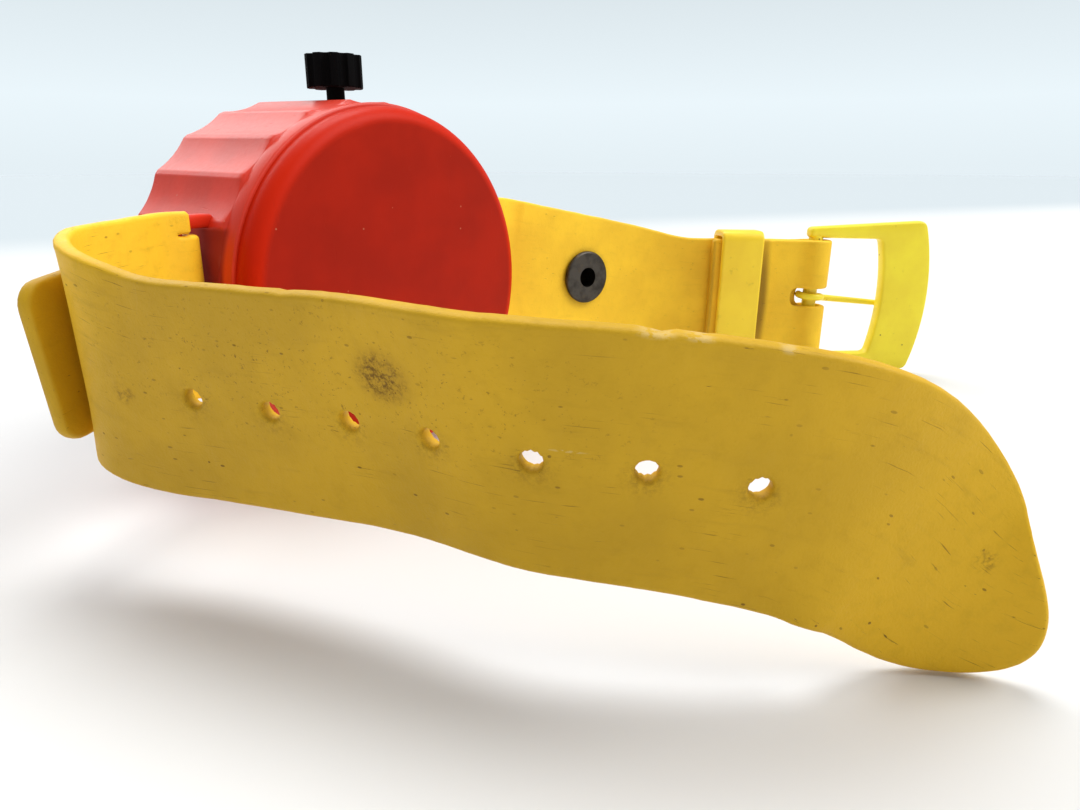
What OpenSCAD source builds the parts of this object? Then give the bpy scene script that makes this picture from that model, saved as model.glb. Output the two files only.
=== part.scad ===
// Toy wrist watch with a fluted drum case, a turning crown and a vinyl strap.
// Origin: centre of the flat back face. +Y points to the dial, +Z to the crown.

/* [Case] */
// Radius of the back cover
back_r = 19.1; // [18:0.1:24]
// Depth of the case from the back face to the front rim
case_h = 21.5; // [20:0.5:28]
// Height of the back cover's rim
cover_h = 2.5; // [2:0.1:3]
// Rounding of the back cover's outer edge
cover_round = 1.7; // [0.5:0.1:1.9]
// Step from the back cover out to the plain band
band_step = 0.4; // [0.1:0.1:1]
// Width of the plain band next to the back cover
band_h = 2; // [1:0.1:3]
// Height of the ridges above the plain band
ridge_rise = 0.4; // [0.1:0.1:1]
// Growth of the ridge radius from back to front
ridge_taper = 0.5; // [0:0.1:1]
// Number of flutes round the case
flutes = 24; // [16:4:32]
// Depth of each flute
flute_depth = 0.9; // [0.4:0.1:1.2]
// Width of the land left on each ridge
ridge_land = 0.6; // [0.4:0.1:1]
// Wall between the plain band and the inside
case_wall = 2; // [1.7:0.1:2.4]
// Thickness of the front wall round the opening
front_wall = 2.2; // [1.5:0.1:3]
// Width of the front wall's inward lip
front_lip = 1.9; // [1.2:0.1:3]

/* [Lugs] */
// Width of the strap's narrow tab between the ears
tab_w = 13.5; // [10:0.5:14]
// Play of the tab beside each ear
tab_play = 0.5; // [0.4:0.05:0.8]
// Thickness of each ear
ear_t = 1.3; // [1:0.1:2]
// Radius of the moulded lug bar
bar_r = 1; // [0.8:0.05:1.3]
// Height of the lug bar's axis above the back face
bar_y = 8; // [7:0.1:9]
// Room between the case and the lug bar
bar_room = 1.9; // [1.9:0.05:2.4]
// Wall left behind the flat between the ears
lug_wall = 1.5; // [1.2:0.1:1.8]
// Thickness of an ear across the strap's layers
ear_h = 1.9; // [1.6:0.05:2]

/* [Strap] */
// Width of the strap
strap_w = 18; // [17:0.5:20]
// Thickness of the strap
strap_t = 1.2; // [1:0.05:1.3]
// Corner cut along the strap's edges
strap_edge = 0.35; // [0.2:0.05:0.45]
// Straight run of the long strap past its lug fold
long_inner = 7.9; // [7.9:0.1:9]
// Radius of the long strap's bend
long_bend_r = 6; // [4:0.1:7]
// Length of the long strap's front run, up to the tip
long_front = 47.6; // [44:0.1:54]
// Length of the rounded tip
tip_len = 25; // [20:0.5:28]
// Diameter of the strap holes
hole_d = 1.7; // [1.2:0.1:2.5]
// Distance between strap holes
hole_pitch = 6.85; // [5:0.05:7]
// Number of strap holes
holes = 7; // [4:1:7]
// Distance from the strap's end to the first hole
hole_inset = 23.9; // [21:0.1:24.5]
// Straight run of the short strap past its lug fold
short_inner = 17; // [16.5:0.5:19]
// Length of the short strap's curve
short_curve = 15; // [14:0.5:18]
// Straight run of the short strap to the buckle
short_end = 17; // [16:0.5:19]
// Length of the long strap's folded flap
long_flap = 13.6; // [12:0.1:14]
// Length of the short strap's folded flap
short_flap = 21.5; // [21:0.5:24]
// Corner radius of the flaps
flap_round = 2; // [1:0.5:4]

/* [Rivets] */
// Radius of the rivet's flange
rivet_r = 3.85; // [3:0.05:3.9]
// Radius of the hole through the rivet
rivet_hole_r = 1.45; // [1:0.05:1.6]
// Wall of the rivet's tube
rivet_wall = 0.6; // [0.4:0.05:0.8]
// Height of the rivet's rolled flange
rivet_rise = 0.8; // [0.5:0.05:1]
// Distance of the long strap's rivet past its lug fold
long_rivet = 3.95; // [3.9:0.05:4]
// Distance of the short strap's rivet past its lug fold
short_rivet = 12.9; // [8:0.1:13]

/* [Keeper and buckle] */
// Width of the keeper loop along the strap
keeper_w = 6.6; // [5:0.2:8]
// Wall of the keeper loop
keeper_t = 1; // [0.7:0.1:1.4]
// Play of the strap inside the keeper
keeper_play = 0.35; // [0.3:0.05:0.6]
// Distance of the keeper from the buckle's bar
keeper_back = 12.6; // [12:0.1:13]
// Length of the strap folded back at the buckle
fold_back = 13.4; // [12:0.2:15]
// Radius of the buckle's bar
buckle_bar_r = 1.1; // [0.9:0.05:1.3]
// Length of the buckle past its bar
buckle_len = 19.6; // [16:0.2:22]
// Width of the buckle at its far end
buckle_w = 24.4; // [23:0.2:27]
// Thickness of the buckle frame
buckle_t = 2.2; // [1.8:0.1:2.6]
// Width of the buckle's far bar
far_bar_w = 8; // [5:0.2:8.6]
// Width of the buckle's side rails at the bar
rail_w = 1.7; // [1.3:0.1:2.5]
// Radius of the tongue's pin
tongue_r = 0.6; // [0.5:0.05:0.9]
// Width of the slot for the tongue
slot_w = 2.8; // [2.6:0.1:4]

/* [Crown] */
// Diameter of the crown
crown_d = 6.2; // [5:0.1:8]
// Height of the crown
crown_h = 3.4; // [2.5:0.1:5]
// Grooves round the crown
crown_grooves = 10; // [6:1:16]
// Diameter of each groove
crown_groove_d = 1.1; // [0.6:0.1:1.2]
// Diameter of the stem
stem_d = 2; // [1.6:0.1:2.4]
// Gap between the case and the crown
crown_gap = 0.9; // [0.5:0.1:2]

/* [Dial and hands] */
// Thickness of the dial
dial_t = 0.8; // [0.6:0.1:1.2]
// Height of the dial's rim
dial_rim_h = 2.9; // [2.7:0.1:3.4]
// Thickness of the crystal
crystal_t = 1; // [0.8:0.1:1.4]
// Rise of the crystal above the front rim
crystal_rise = 0.9; // [0.4:0.1:1.5]
// Length of the hour hand
hour_hand_l = 8.5; // [6:0.5:10]
// Length of the minute hand
minute_hand_l = 12; // [9:0.5:13]
// Thickness of the hands
hand_t = 0.4; // [0.3:0.05:0.5]

/* [Gear train] */
// Tooth module of the motion gears
gear_mod = 0.35; // [0.3:0.01:0.36]
// Teeth of the pinion on the minute arbor
cannon_teeth = 10; // [10:1:10]
// Teeth of the intermediate wheel
minute_teeth = 30; // [30:1:30]
// Teeth of the intermediate wheel's pinion
relay_teeth = 8; // [8:1:8]
// Teeth of the hour wheel
hour_teeth = 32; // [32:1:32]
// Teeth of the contrate wheel turned by the stem
contrate_teeth = 36; // [36:1:36]
// Teeth of the stem pinion
stem_teeth = 9; // [9:1:9]
// Mean radius of the contrate wheel's teeth
contrate_r = 7.2; // [6.9:0.1:8]
// Width of the gear teeth along their axis
gear_w = 1; // [0.8:0.05:1.1]
// Radius of the minute arbor
arbor_r = 0.9; // [0.7:0.05:1]
// Wall of the hour wheel's pipe
pipe_wall = 0.75; // [0.5:0.05:0.9]
// Thickness of the movement plate
plate_t = 2; // [1.5:0.1:2.3]

/* [Hidden] */
$fn = 64;

// One overrun for every cut
over = 1;
// Radial clearances of turning fits, seated rings and stacked pieces
run_fit = 0.05;
seat_fit = 0.25;
hand_fit = 0.02;
axial_gap = 0.2;

red = [0.78, 0.1, 0.06];
yellow = [0.88, 0.68, 0.16];
bright_yellow = [0.98, 0.85, 0.2];
steel = [0.62, 0.6, 0.58];
black = [0.06, 0.06, 0.06];
white = [0.94, 0.93, 0.9];
clear = [0.85, 0.9, 0.92, 0.35];
brass = [0.8, 0.65, 0.3];

// Radii of the case
band_r = back_r + band_step;
ridge_back_r = band_r + ridge_rise;
ridge_front_r = ridge_back_r + ridge_taper;
cavity_r = band_r - case_wall;
opening_r = cavity_r - front_lip;
flute_start = cover_h + band_h;
flute_l = case_h - flute_start;
flute_step = 360 / flutes;
taper_angle = atan(ridge_taper / flute_l);
mid_ridge_r = (ridge_back_r + ridge_front_r) / 2;
flute_chord = 2 * mid_ridge_r * sin(flute_step / 2) - ridge_land;
flute_r = (pow(flute_chord / 2, 2) + pow(flute_depth, 2)) / (2 * flute_depth);

// Depths of the pieces stacked behind the front wall
front_y = case_h - front_wall;
flange_y = front_y - crystal_t;
dial_y = flange_y - dial_rim_h - dial_t;
plate_y = dial_y - plate_t;
seat_r = cavity_r - seat_fit;

// Lug bars
lug_flat = cavity_r + lug_wall;
bar_x = lug_flat + bar_room + bar_r;
ear_in = tab_w / 2 + tab_play;
ear_base_x = cavity_r;
recess_h = 2 * (bar_r + 2 * strap_t);

// Gear train, from the plate towards the back
gear_gap = axial_gap;
pressure_angle = 20;
addendum_share = 0.85;
dedendum_share = 1.2;
backlash_share = 0.16;
hour_wheel_y = plate_y - gear_gap - gear_w;
relay_y = hour_wheel_y - gear_gap - gear_w;
minute_wheel_y = relay_y - gear_gap;
centre_distance = gear_mod * (cannon_teeth + minute_teeth) / 2;
relay_angle = 235;
relay_x = centre_distance * cos(relay_angle);
relay_z = centre_distance * sin(relay_angle);
post_r_share = 0.6;
post_r = arbor_r * post_r_share;
pipe_r = arbor_r + run_fit + pipe_wall;
stem_r = stem_d / 2;
stem_pitch_r = contrate_r * stem_teeth / contrate_teeth;
stem_tooth_share = 0.2;
stem_tooth = stem_pitch_r * stem_tooth_share;
contrate_face_share = 0.25;
contrate_face = contrate_r * contrate_face_share;
stem_y = plate_y - gear_gap - stem_pitch_r - stem_tooth - run_fit;
contrate_top = stem_y - stem_pitch_r + stem_tooth;
contrate_disc = stem_y - stem_pitch_r - stem_tooth - axial_gap;
contrate_back = contrate_disc - gear_w;
contrate_tooth_share = 0.33;
contrate_tooth_w = contrate_tooth_share * 2 * PI * (contrate_r - contrate_face / 2) / contrate_teeth;
boss_top = contrate_back - axial_gap;
boss_r = arbor_r * 3;
pivot_depth = (boss_top - cover_h) * 0.8;
bearing_t = stem_d;
bearing_z = contrate_r + contrate_face / 2 + axial_gap + bearing_t / 2;
hour_hand_y = dial_y + dial_t + axial_gap;
minute_hand_y = hour_hand_y + hand_t + axial_gap * 2;

// Strap folds
fold_play = 0.25;
fold_gap = 0.3;
fold_turn = 34;
fold_r = bar_r + fold_play + strap_t / 2;
fold_run_share = 2.25;
fold_run = strap_t * fold_run_share;
shoulder_run = strap_edge / 2;
buckle_fold_r = buckle_bar_r + fold_play + strap_t / 2;
buckle_shift = 2 * (buckle_fold_r * cos(fold_turn) - fold_run * sin(fold_turn / 2));

// Swing of each strap from straight out, towards the back
long_swing = -28.7;
short_swing = -15;
front_heading = -114.5;
buckle_heading = -46;
buckle_slope = -1;

// Waves of the long strap's front run: share of its length, turn, steps
front_shares = [[0.28, 7.4, 5], [0.15, 1.6, 3], [0.15, 12.8, 3], [0.2, -31.3, 5], [0.22, -6.7, 4]];
// Bend of the tip: share of its length, turn, steps
tip_shares = [[0.45, -19.5, 7], [0.3, 20.8, 6], [0.17, 25.6, 5], [0.08, 1.9, 5]];
// Edgewise slope in degrees by share of the strap's length
long_slope_shares = [[0, 0], [0.025, 0], [0.055, -2.8], [0.15, -2.8], [0.22, -20.5], [0.3, -0.8], [0.45, 1.1],
    [0.66, -5.2], [0.78, -13.2], [0.9, -50.9], [1, -3.6]];
short_slope_shares = [[0, 0], [0.03, 0], [0.1, -11], [0.44, -11], [0.6, -16], [0.71, buckle_slope], [1, buckle_slope]];
long_flap_shares = [[0, 0], [0.025, 0], [0.055, -7.5], [1, -7.5]];
// Lean of the long strap's width by share of its length
long_lean_shares = [[0, 0], [0.15, 0], [0.3, 10.5], [0.55, 15.3], [0.8, 9.2], [1, -4.6]];
flat_shares = [[0, 0], [1, 0]];
tip_power = 2.3;
tip_end_share = 0.1;

function unit(a) = [cos(a), sin(a), 0];

// A walk along flat turns: runs are [length, turn, steps]; each stop is [place, along, up, distance]
function steps_of(runs) = [for (g = runs) for (i = [1:g[2]]) [g[0] / g[2], g[1] / g[2]]];
function length_of(runs, i = 0) = i >= len(runs) ? 0 : runs[i][0] + length_of(runs, i + 1);
function along(a, slope) = cos(slope) * unit(a) + [0, 0, sin(slope)];
function up_of(a, slope, lean) = cos(lean) * cross(along(a, slope), unit(a + 90)) + sin(lean) * unit(a + 90);
function stop(p, a, s, total, slopes, leans) =
    let (slope = lookup(s / total, slopes))
    [p, along(a, slope), up_of(a, slope, lookup(s / total, leans)), s];
function walk(start, heading, runs, total, slopes, leans) =
    let (steps = steps_of(runs), n = len(steps))
    [for (i = 0, p = start, a = heading, s = 0;
        i <= n;
        p = i < n ? p + steps[i][0] * along(a + steps[i][1] / 2, lookup((s + steps[i][0] / 2) / total, slopes)) : p,
        s = i < n ? s + steps[i][0] : s,
        a = i < n ? a + steps[i][1] : a,
        i = i + 1)
        stop(p, a, s, total, slopes, leans)];
// The same walk inside a tilted plane, so that a fold stays square to its bar
function tilted_walk(from, runs) =
    let (flat = walk([0, 0, 0], 0, runs, 1, flat_shares, flat_shares), side = cross(from[2], from[1]))
    [for (f = flat) [from[0] + f[0][0] * from[1] + f[0][1] * side, f[1][0] * from[1] + f[1][1] * side, from[2], f[3]]];
function reversed(list) = [for (i = [len(list) - 1:-1:0]) list[i]];
function turned_back(stops) = [for (q = reversed(stops)) [q[0], -q[1], q[2], q[3]]];
function rest_of(list) = [for (i = [1:len(list) - 1]) list[i]];
function stop_at(stops, s) =
    let (after = [for (i = [1:len(stops) - 1]) if (stops[i][3] >= s) i], i = after[0], a = stops[i - 1], b = stops[i],
        t = (s - a[3]) / (b[3] - a[3]))
    [for (k = [0:2]) a[k] + t * (b[k] - a[k])];
function layers_apart(q, flap) = (flap[len(flap) - 1][0] - q[0]) * cross(q[2], q[1]);
function heading_of(q) = atan2(q[1][1], q[1][0]);
function slope_of(q) = asin(q[1][2] / norm(q[1]));

// Ribbon solid along stops, with a half width for each stop
function ring(q, half) =
    let (side = cross(q[2], q[1]), t = strap_t / 2, c = strap_edge)
    [for (k = [[t, c - half], [t, half - c], [t - c, half], [c - t, half], [-t, half - c], [-t, c - half],
        [c - t, -half], [t - c, -half]]) q[0] + k[0] * side + k[1] * q[2]];
module ribbon(stops, halves) {
    n = 8;
    last = len(stops) - 1;
    points = [for (i = [0:last]) each ring(stops[i], halves[i])];
    sides = [for (i = [0:last - 1]) for (k = [0:n - 1]) let (a = i * n + k, b = i * n + (k + 1) % n)
        each [[a, a + n, b + n], [a, b + n, b]]];
    caps = [[for (k = [0:n - 1]) k], [for (k = [n - 1:-1:0]) last * n + k]];
    polyhedron(points = points, faces = concat(caps, sides));
}

// Places a piece on a stop: x along the strap, y out of its outer face, z along its width
module on_stop(q) {
    translate(q[0]) rotate([0, -slope_of(q), heading_of(q)]) children();
}

// Half width near a rounded end that is `left` away
function flap_half(left) =
    let (cut = max(0, flap_round - left))
    tab_w / 2 - flap_round + sqrt(max(0, pow(flap_round, 2) - pow(cut, 2))) + strap_edge * (cut > 0 ? 1 - cut / flap_round : 1)
        - strap_edge;
function tip_half(s, total) =
    let (k = max(0, (s - total + tip_len) / tip_len))
    strap_w / 2 * max(tip_end_share, pow(max(0, 1 - pow(k, tip_power)), 1 / 2));

// Fold at a lug bar: both straps start at the side of the bar that faces the case
lug_start = [bar_x - fold_r, bar_y, 0];
function arc(r, angle) = r * PI / 180 * abs(angle);
function under_bar() = [[arc(fold_r, 90), 90, 7], [shoulder_run, 0, 1]];
function lug_fold(swing) = concat(under_bar(), [[arc(fold_r, swing + fold_turn), swing + fold_turn, 1],
    [fold_run, -fold_turn, 3]]);
function flap_fold(swing) = [[arc(fold_r, 90 - swing + fold_turn), swing - fold_turn - 90, 9],
    [fold_run, fold_turn, 3]];
flap_steps_shares = [[0.6, 0, 2], [0.4, 0, 8]];
function flap_runs(swing, flap) = concat(flap_fold(swing), [for (g = flap_steps_shares) [g[0] * flap, g[1], g[2]]]);
shoulder_s = length_of(under_bar()) - shoulder_run / 2;
function flap_stops(swing, flap, total, slopes) =
    walk(lug_start, 90, flap_runs(swing, flap), total, slopes, flat_shares);
function main_half(s) = s < shoulder_s ? tab_w / 2 : strap_w / 2;

// Long strap
long_bend = front_heading - long_swing;
long_runs = concat(lug_fold(long_swing), [[long_inner, 0, 3], [arc(long_bend_r, long_bend), long_bend, 14]],
    [for (g = front_shares) [g[0] * long_front, g[1], g[2]]], [for (g = tip_shares) [g[0] * tip_len, g[1], g[2]]]);
long_total = length_of(long_runs);
long_stops = walk(lug_start, -90, long_runs, long_total, long_slope_shares, long_lean_shares);
long_flap_stops = flap_stops(long_swing, long_flap, long_total, long_flap_shares);
long_flap_total = length_of(flap_runs(long_swing, long_flap));
long_rivet_stop = stop_at(long_stops, length_of(lug_fold(long_swing)) + long_rivet);
long_layers = layers_apart(long_rivet_stop, long_flap_stops);

// Short strap
short_bend = buckle_heading - short_swing;
short_runs = concat(lug_fold(short_swing), [[short_inner, 0, 4], [short_curve, short_bend, 6], [short_end, 0, 4]]);
short_total = length_of(short_runs);
short_stops = walk(lug_start, -90, short_runs, short_total, short_slope_shares, flat_shares);
short_flap_stops = flap_stops(short_swing, short_flap, short_total, short_slope_shares);
short_flap_total = length_of(flap_runs(short_swing, short_flap));
short_rivet_stop = stop_at(short_stops, length_of(lug_fold(short_swing)) + short_rivet);
short_layers = layers_apart(short_rivet_stop, short_flap_stops);

// Fold at the buckle, in the plane of the strap's end
buckle_fold_angle = 180 + 2 * fold_turn;
buckle_fold = [[fold_run, fold_turn, 3], [arc(buckle_fold_r, buckle_fold_angle), -buckle_fold_angle, 14],
    [fold_run, fold_turn, 3], [fold_back, 0, 3]];
strap_end = short_stops[len(short_stops) - 1];
fold_stops = tilted_walk(strap_end, buckle_fold);
end_side = cross(strap_end[2], strap_end[1]);
bar_ahead = fold_run * cos(fold_turn / 2) + buckle_fold_r * sin(fold_turn);
bar_stop = [strap_end[0] + bar_ahead * strap_end[1] - buckle_shift / 2 * end_side, strap_end[1], strap_end[2]];
keeper_stop = [bar_stop[0] - keeper_back * strap_end[1], strap_end[1], strap_end[2]];

module rounded_rect(w, h, r) {
    square([w - 2 * r, h], center = true);
    square([w, h - 2 * r], center = true);
    for (x = [-1, 1], y = [-1, 1]) translate([x * (w / 2 - r), y * (h / 2 - r)]) circle(r);
}

// Disc across the case's axis
module disc(r, y, h) {
    translate([0, y, 0]) rotate([-90, 0, 0]) cylinder(r = r, h = h, $fn = 96);
}

// Case body: fluted drum with moulded lugs
module drum() {
    disc(band_r, cover_h, band_h + over);
    difference() {
        translate([0, flute_start, 0]) rotate([-90, 0, 0])
            cylinder(r1 = ridge_back_r, r2 = ridge_front_r, h = flute_l, $fn = 96);
        for (i = [0:flutes - 1]) rotate([0, i * flute_step, 0]) flute_cut();
    }
}
module flute_cut() {
    translate([0, flute_start, ridge_back_r - flute_depth + flute_r]) rotate([-90 + taper_angle, 0, 0])
        translate([0, 0, -over]) intersection() {
            cylinder(r = flute_r, h = flute_l + 2 * over, $fn = 48);
            translate([-flute_r, -flute_r, over]) cube([2 * flute_r, 2 * flute_r, flute_l + 2 * over]);
        }
}
module ear_outline() {
    translate([bar_x, bar_y]) circle(d = ear_h);
    translate([ear_base_x, bar_y - ear_h / 2]) square([bar_x - ear_base_x, ear_h]);
}
module lug() {
    for (z = [ear_in, -ear_in - ear_t]) translate([0, 0, z]) linear_extrude(ear_t) ear_outline();
    translate([bar_x, bar_y, -ear_in - ear_t / 2]) cylinder(r = bar_r, h = 2 * ear_in + ear_t);
}
module lug_recess() {
    translate([lug_flat, bar_y - recess_h / 2, -ear_in]) cube([bar_x, recess_h, 2 * ear_in]);
}
module case_body() {
    color(red) {
        difference() {
            drum();
            disc(cavity_r, cover_h - over, front_y - cover_h + over);
            disc(opening_r, front_y - over, front_wall + 2 * over);
            translate([0, stem_y, 0]) cylinder(r = stem_r + run_fit, h = ridge_front_r + over);
            lug_recess();
            mirror([1, 0, 0]) lug_recess();
        }
        lug();
        mirror([1, 0, 0]) lug();
    }
}

// Back cover: rounded disc with a skirt that holds the movement, and the arbor's rear bearing
module cover_profile() {
    difference() {
        square([back_r, cover_h]);
        translate([back_r - cover_round, 0]) square([cover_round + over, cover_round]);
    }
    translate([back_r - cover_round, cover_round]) circle(cover_round);
}
module back_cover() {
    skirt_in = seat_r - case_wall / 2;
    notch = stem_d + 2 * axial_gap;
    color(red) difference() {
        union() {
            rotate([-90, 0, 0]) intersection() {
                rotate_extrude($fn = 96) cover_profile();
                cylinder(r = back_r, h = cover_h, $fn = 96);
            }
            difference() {
                disc(seat_r, cover_h - over, plate_y - cover_h + over);
                disc(skirt_in, cover_h, plate_y - cover_h + over);
                translate([-notch / 2, stem_y - notch / 2, 0]) cube([notch, case_h, band_r]);
            }
            disc(boss_r, cover_h - over, boss_top - cover_h + over);
        }
        disc(arbor_r + run_fit, boss_top - pivot_depth, pivot_depth + over);
    }
}

// Crystal: clear domed window with a seating flange
module crystal_profile() {
    dome_r = opening_r - seat_fit;
    height = case_h + crystal_rise - flange_y;
    sphere_r = (pow(dome_r, 2) + pow(crystal_rise, 2)) / (2 * crystal_rise);
    difference() {
        union() {
            square([seat_r, crystal_t]);
            intersection() {
                square([dome_r, height]);
                translate([0, height - sphere_r]) circle(sphere_r, $fn = 720);
            }
        }
        translate([0, -over]) square([dome_r - crystal_t, case_h - crystal_t - flange_y + over]);
    }
}
module crystal() {
    color(clear) translate([0, flange_y, 0]) rotate([-90, 0, 0]) rotate_extrude($fn = 96) crystal_profile();
}

// Dial: thin disc with a rim that spaces it from the crystal
module dial() {
    rim_t = case_wall / 2;
    color(white) difference() {
        disc(seat_r, dial_y, dial_t + dial_rim_h);
        disc(seat_r - rim_t, dial_y + dial_t, dial_rim_h + over);
        disc(pipe_r + axial_gap, dial_y - over, dial_t + 2 * over);
    }
}

// Movement plate with the relay post and the stem's inner bearing
module movement_plate() {
    bearing_h = plate_y - stem_y + stem_d;
    color(white) {
        difference() {
            disc(seat_r, plate_y, plate_t);
            disc(pipe_r + run_fit, plate_y - over, plate_t + 2 * over);
        }
        translate([relay_x, minute_wheel_y - gear_w, relay_z]) rotate([-90, 0, 0])
            cylinder(r = post_r, h = plate_y - minute_wheel_y + gear_w + plate_t / 2);
        difference() {
            translate([-stem_d, plate_y - bearing_h, bearing_z - bearing_t / 2])
                cube([2 * stem_d, bearing_h + plate_t / 2, bearing_t]);
            translate([0, stem_y, bearing_z - bearing_t]) cylinder(r = stem_r + run_fit, h = 2 * bearing_t);
        }
    }
}

// Involute gear outline
function involute(rb, r) = r <= rb ? 0 : let (a = acos(rb / r)) tan(a) * 180 / PI - a;
function half_tooth(teeth, r, pitch_r) =
    let (rb = pitch_r * cos(pressure_angle))
    90 / teeth * (1 - backlash_share) + involute(rb, pitch_r) - involute(rb, r);
module gear_outline(teeth, turn = 0) {
    pitch_r = gear_mod * teeth / 2;
    tip_r = pitch_r + gear_mod * addendum_share;
    root_r = pitch_r - gear_mod * dedendum_share;
    radii = [root_r, pitch_r, tip_r];
    polygon([for (i = [0:teeth - 1]) let (c = turn + i * 360 / teeth) each concat(
        [for (r = radii) r * [cos(c - half_tooth(teeth, r, pitch_r)), sin(c - half_tooth(teeth, r, pitch_r))]],
        [for (r = reversed(radii)) r * [cos(c + half_tooth(teeth, r, pitch_r)),
            sin(c + half_tooth(teeth, r, pitch_r))]])]);
}
module gear(teeth, y, h, turn = 0) {
    translate([0, y + h, 0]) rotate([90, 0, 0]) linear_extrude(h) gear_outline(teeth, turn);
}

// Minute arbor: shaft, contrate wheel and cannon pinion
module minute_arbor() {
    pivot_y = boss_top - pivot_depth + axial_gap;
    tooth_h = contrate_top - contrate_disc;
    color(brass) {
        disc(arbor_r, pivot_y, minute_hand_y + hand_t + axial_gap - pivot_y);
        disc(contrate_r + contrate_face / 2, contrate_back, gear_w);
        for (i = [0:contrate_teeth - 1]) rotate([0, (i + 0.5) * 360 / contrate_teeth, 0])
            translate([-contrate_tooth_w / 2, contrate_disc - tooth_h / 2, contrate_r - contrate_face / 2])
                cube([contrate_tooth_w, tooth_h * 1.5, contrate_face]);
        gear(cannon_teeth, minute_wheel_y - gear_w - gear_gap / 2, gear_w + gear_gap, relay_angle);
        disc(gear_mod * cannon_teeth / 2 - gear_mod * dedendum_share, contrate_disc, minute_wheel_y - contrate_disc);
    }
}

// Intermediate wheel with its pinion
module minute_wheel() {
    color(white) translate([relay_x, 0, relay_z]) difference() {
        union() {
            gear(minute_teeth, minute_wheel_y - gear_w, gear_w, relay_angle + 180 / minute_teeth + 180);
            gear(relay_teeth, minute_wheel_y - gear_w / 2, plate_y - gear_gap - minute_wheel_y + gear_w / 2,
                relay_angle + 180);
        }
        disc(post_r + run_fit, minute_wheel_y - gear_w - over, plate_y - minute_wheel_y + gear_w + 2 * over);
    }
}

// Hour wheel with the pipe that carries the hour hand
module hour_wheel() {
    color(white) difference() {
        union() {
            gear(hour_teeth, hour_wheel_y, gear_w, relay_angle + 180 / hour_teeth);
            disc(pipe_r, hour_wheel_y, hour_hand_y + hand_t - hour_wheel_y);
        }
        disc(arbor_r + run_fit, hour_wheel_y - over, hour_hand_y + hand_t - hour_wheel_y + 2 * over);
    }
}

// Hands: tapered blade on a round hub
module hand(length, hub_r, hole_r, y, turn) {
    root_w = hub_r;
    tip_w = hub_r / 3;
    color(black) rotate([0, turn, 0]) translate([0, y + hand_t, 0]) rotate([90, 0, 0]) linear_extrude(hand_t)
        difference() {
            union() {
                circle(hub_r);
                polygon([[-root_w / 2, 0], [root_w / 2, 0], [tip_w / 2, length], [-tip_w / 2, length]]);
                translate([0, length]) circle(tip_w / 2);
            }
            circle(hole_r);
        }
}
hour_hand_turn = 305;
minute_hand_turn = 50;
module hour_hand() {
    hand(hour_hand_l, pipe_r * 1.6, pipe_r + hand_fit, hour_hand_y, hour_hand_turn);
}
module minute_hand() {
    hand(minute_hand_l, arbor_r * 2, arbor_r + hand_fit, minute_hand_y, minute_hand_turn);
}

// Crown: grooved knob with a blind bore for its stem
crown_z = ridge_front_r + crown_gap;
pinion_z = contrate_r - contrate_face / 2;
module crown() {
    crown_r = crown_d / 2;
    groove_at = crown_r + crown_groove_d / 8;
    color(black) translate([0, stem_y, 0]) {
        translate([0, 0, crown_z]) difference() {
            cylinder(r = crown_r, h = crown_h);
            for (i = [0:crown_grooves - 1]) rotate([0, 0, i * 360 / crown_grooves]) translate([groove_at, 0, -over])
                cylinder(d = crown_groove_d, h = crown_h + 2 * over, $fn = 24);
            translate([0, 0, -over]) cylinder(r = stem_r + hand_fit, h = crown_h / 2 + over);
        }
    }
}

// Stem pressed into the crown
module stem() {
    color(black) translate([0, stem_y, pinion_z]) cylinder(r = stem_r, h = crown_z + crown_h / 2 - pinion_z);
}

// Pinion pressed on the stem's inner end
module stem_pinion() {
    tip_r = stem_pitch_r + stem_tooth;
    root_r = stem_r + stem_tooth / 2;
    tooth_angle = 360 / stem_teeth;
    // Angles of a tooth's flanks at root and tip, as shares of the tooth pitch
    root_share = 0.2;
    tip_share = 0.08;
    color(brass) translate([0, stem_y, pinion_z]) difference() {
        linear_extrude(contrate_face) polygon([for (i = [0:stem_teeth - 1]) let (c = -90 + i * tooth_angle) each [
            root_r * [cos(c - root_share * tooth_angle), sin(c - root_share * tooth_angle)],
            tip_r * [cos(c - tip_share * tooth_angle), sin(c - tip_share * tooth_angle)],
            tip_r * [cos(c + tip_share * tooth_angle), sin(c + tip_share * tooth_angle)],
            root_r * [cos(c + root_share * tooth_angle), sin(c + root_share * tooth_angle)]]]);
        translate([0, 0, -over]) cylinder(r = stem_r + hand_fit, h = contrate_face + 2 * over);
    }
}

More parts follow.
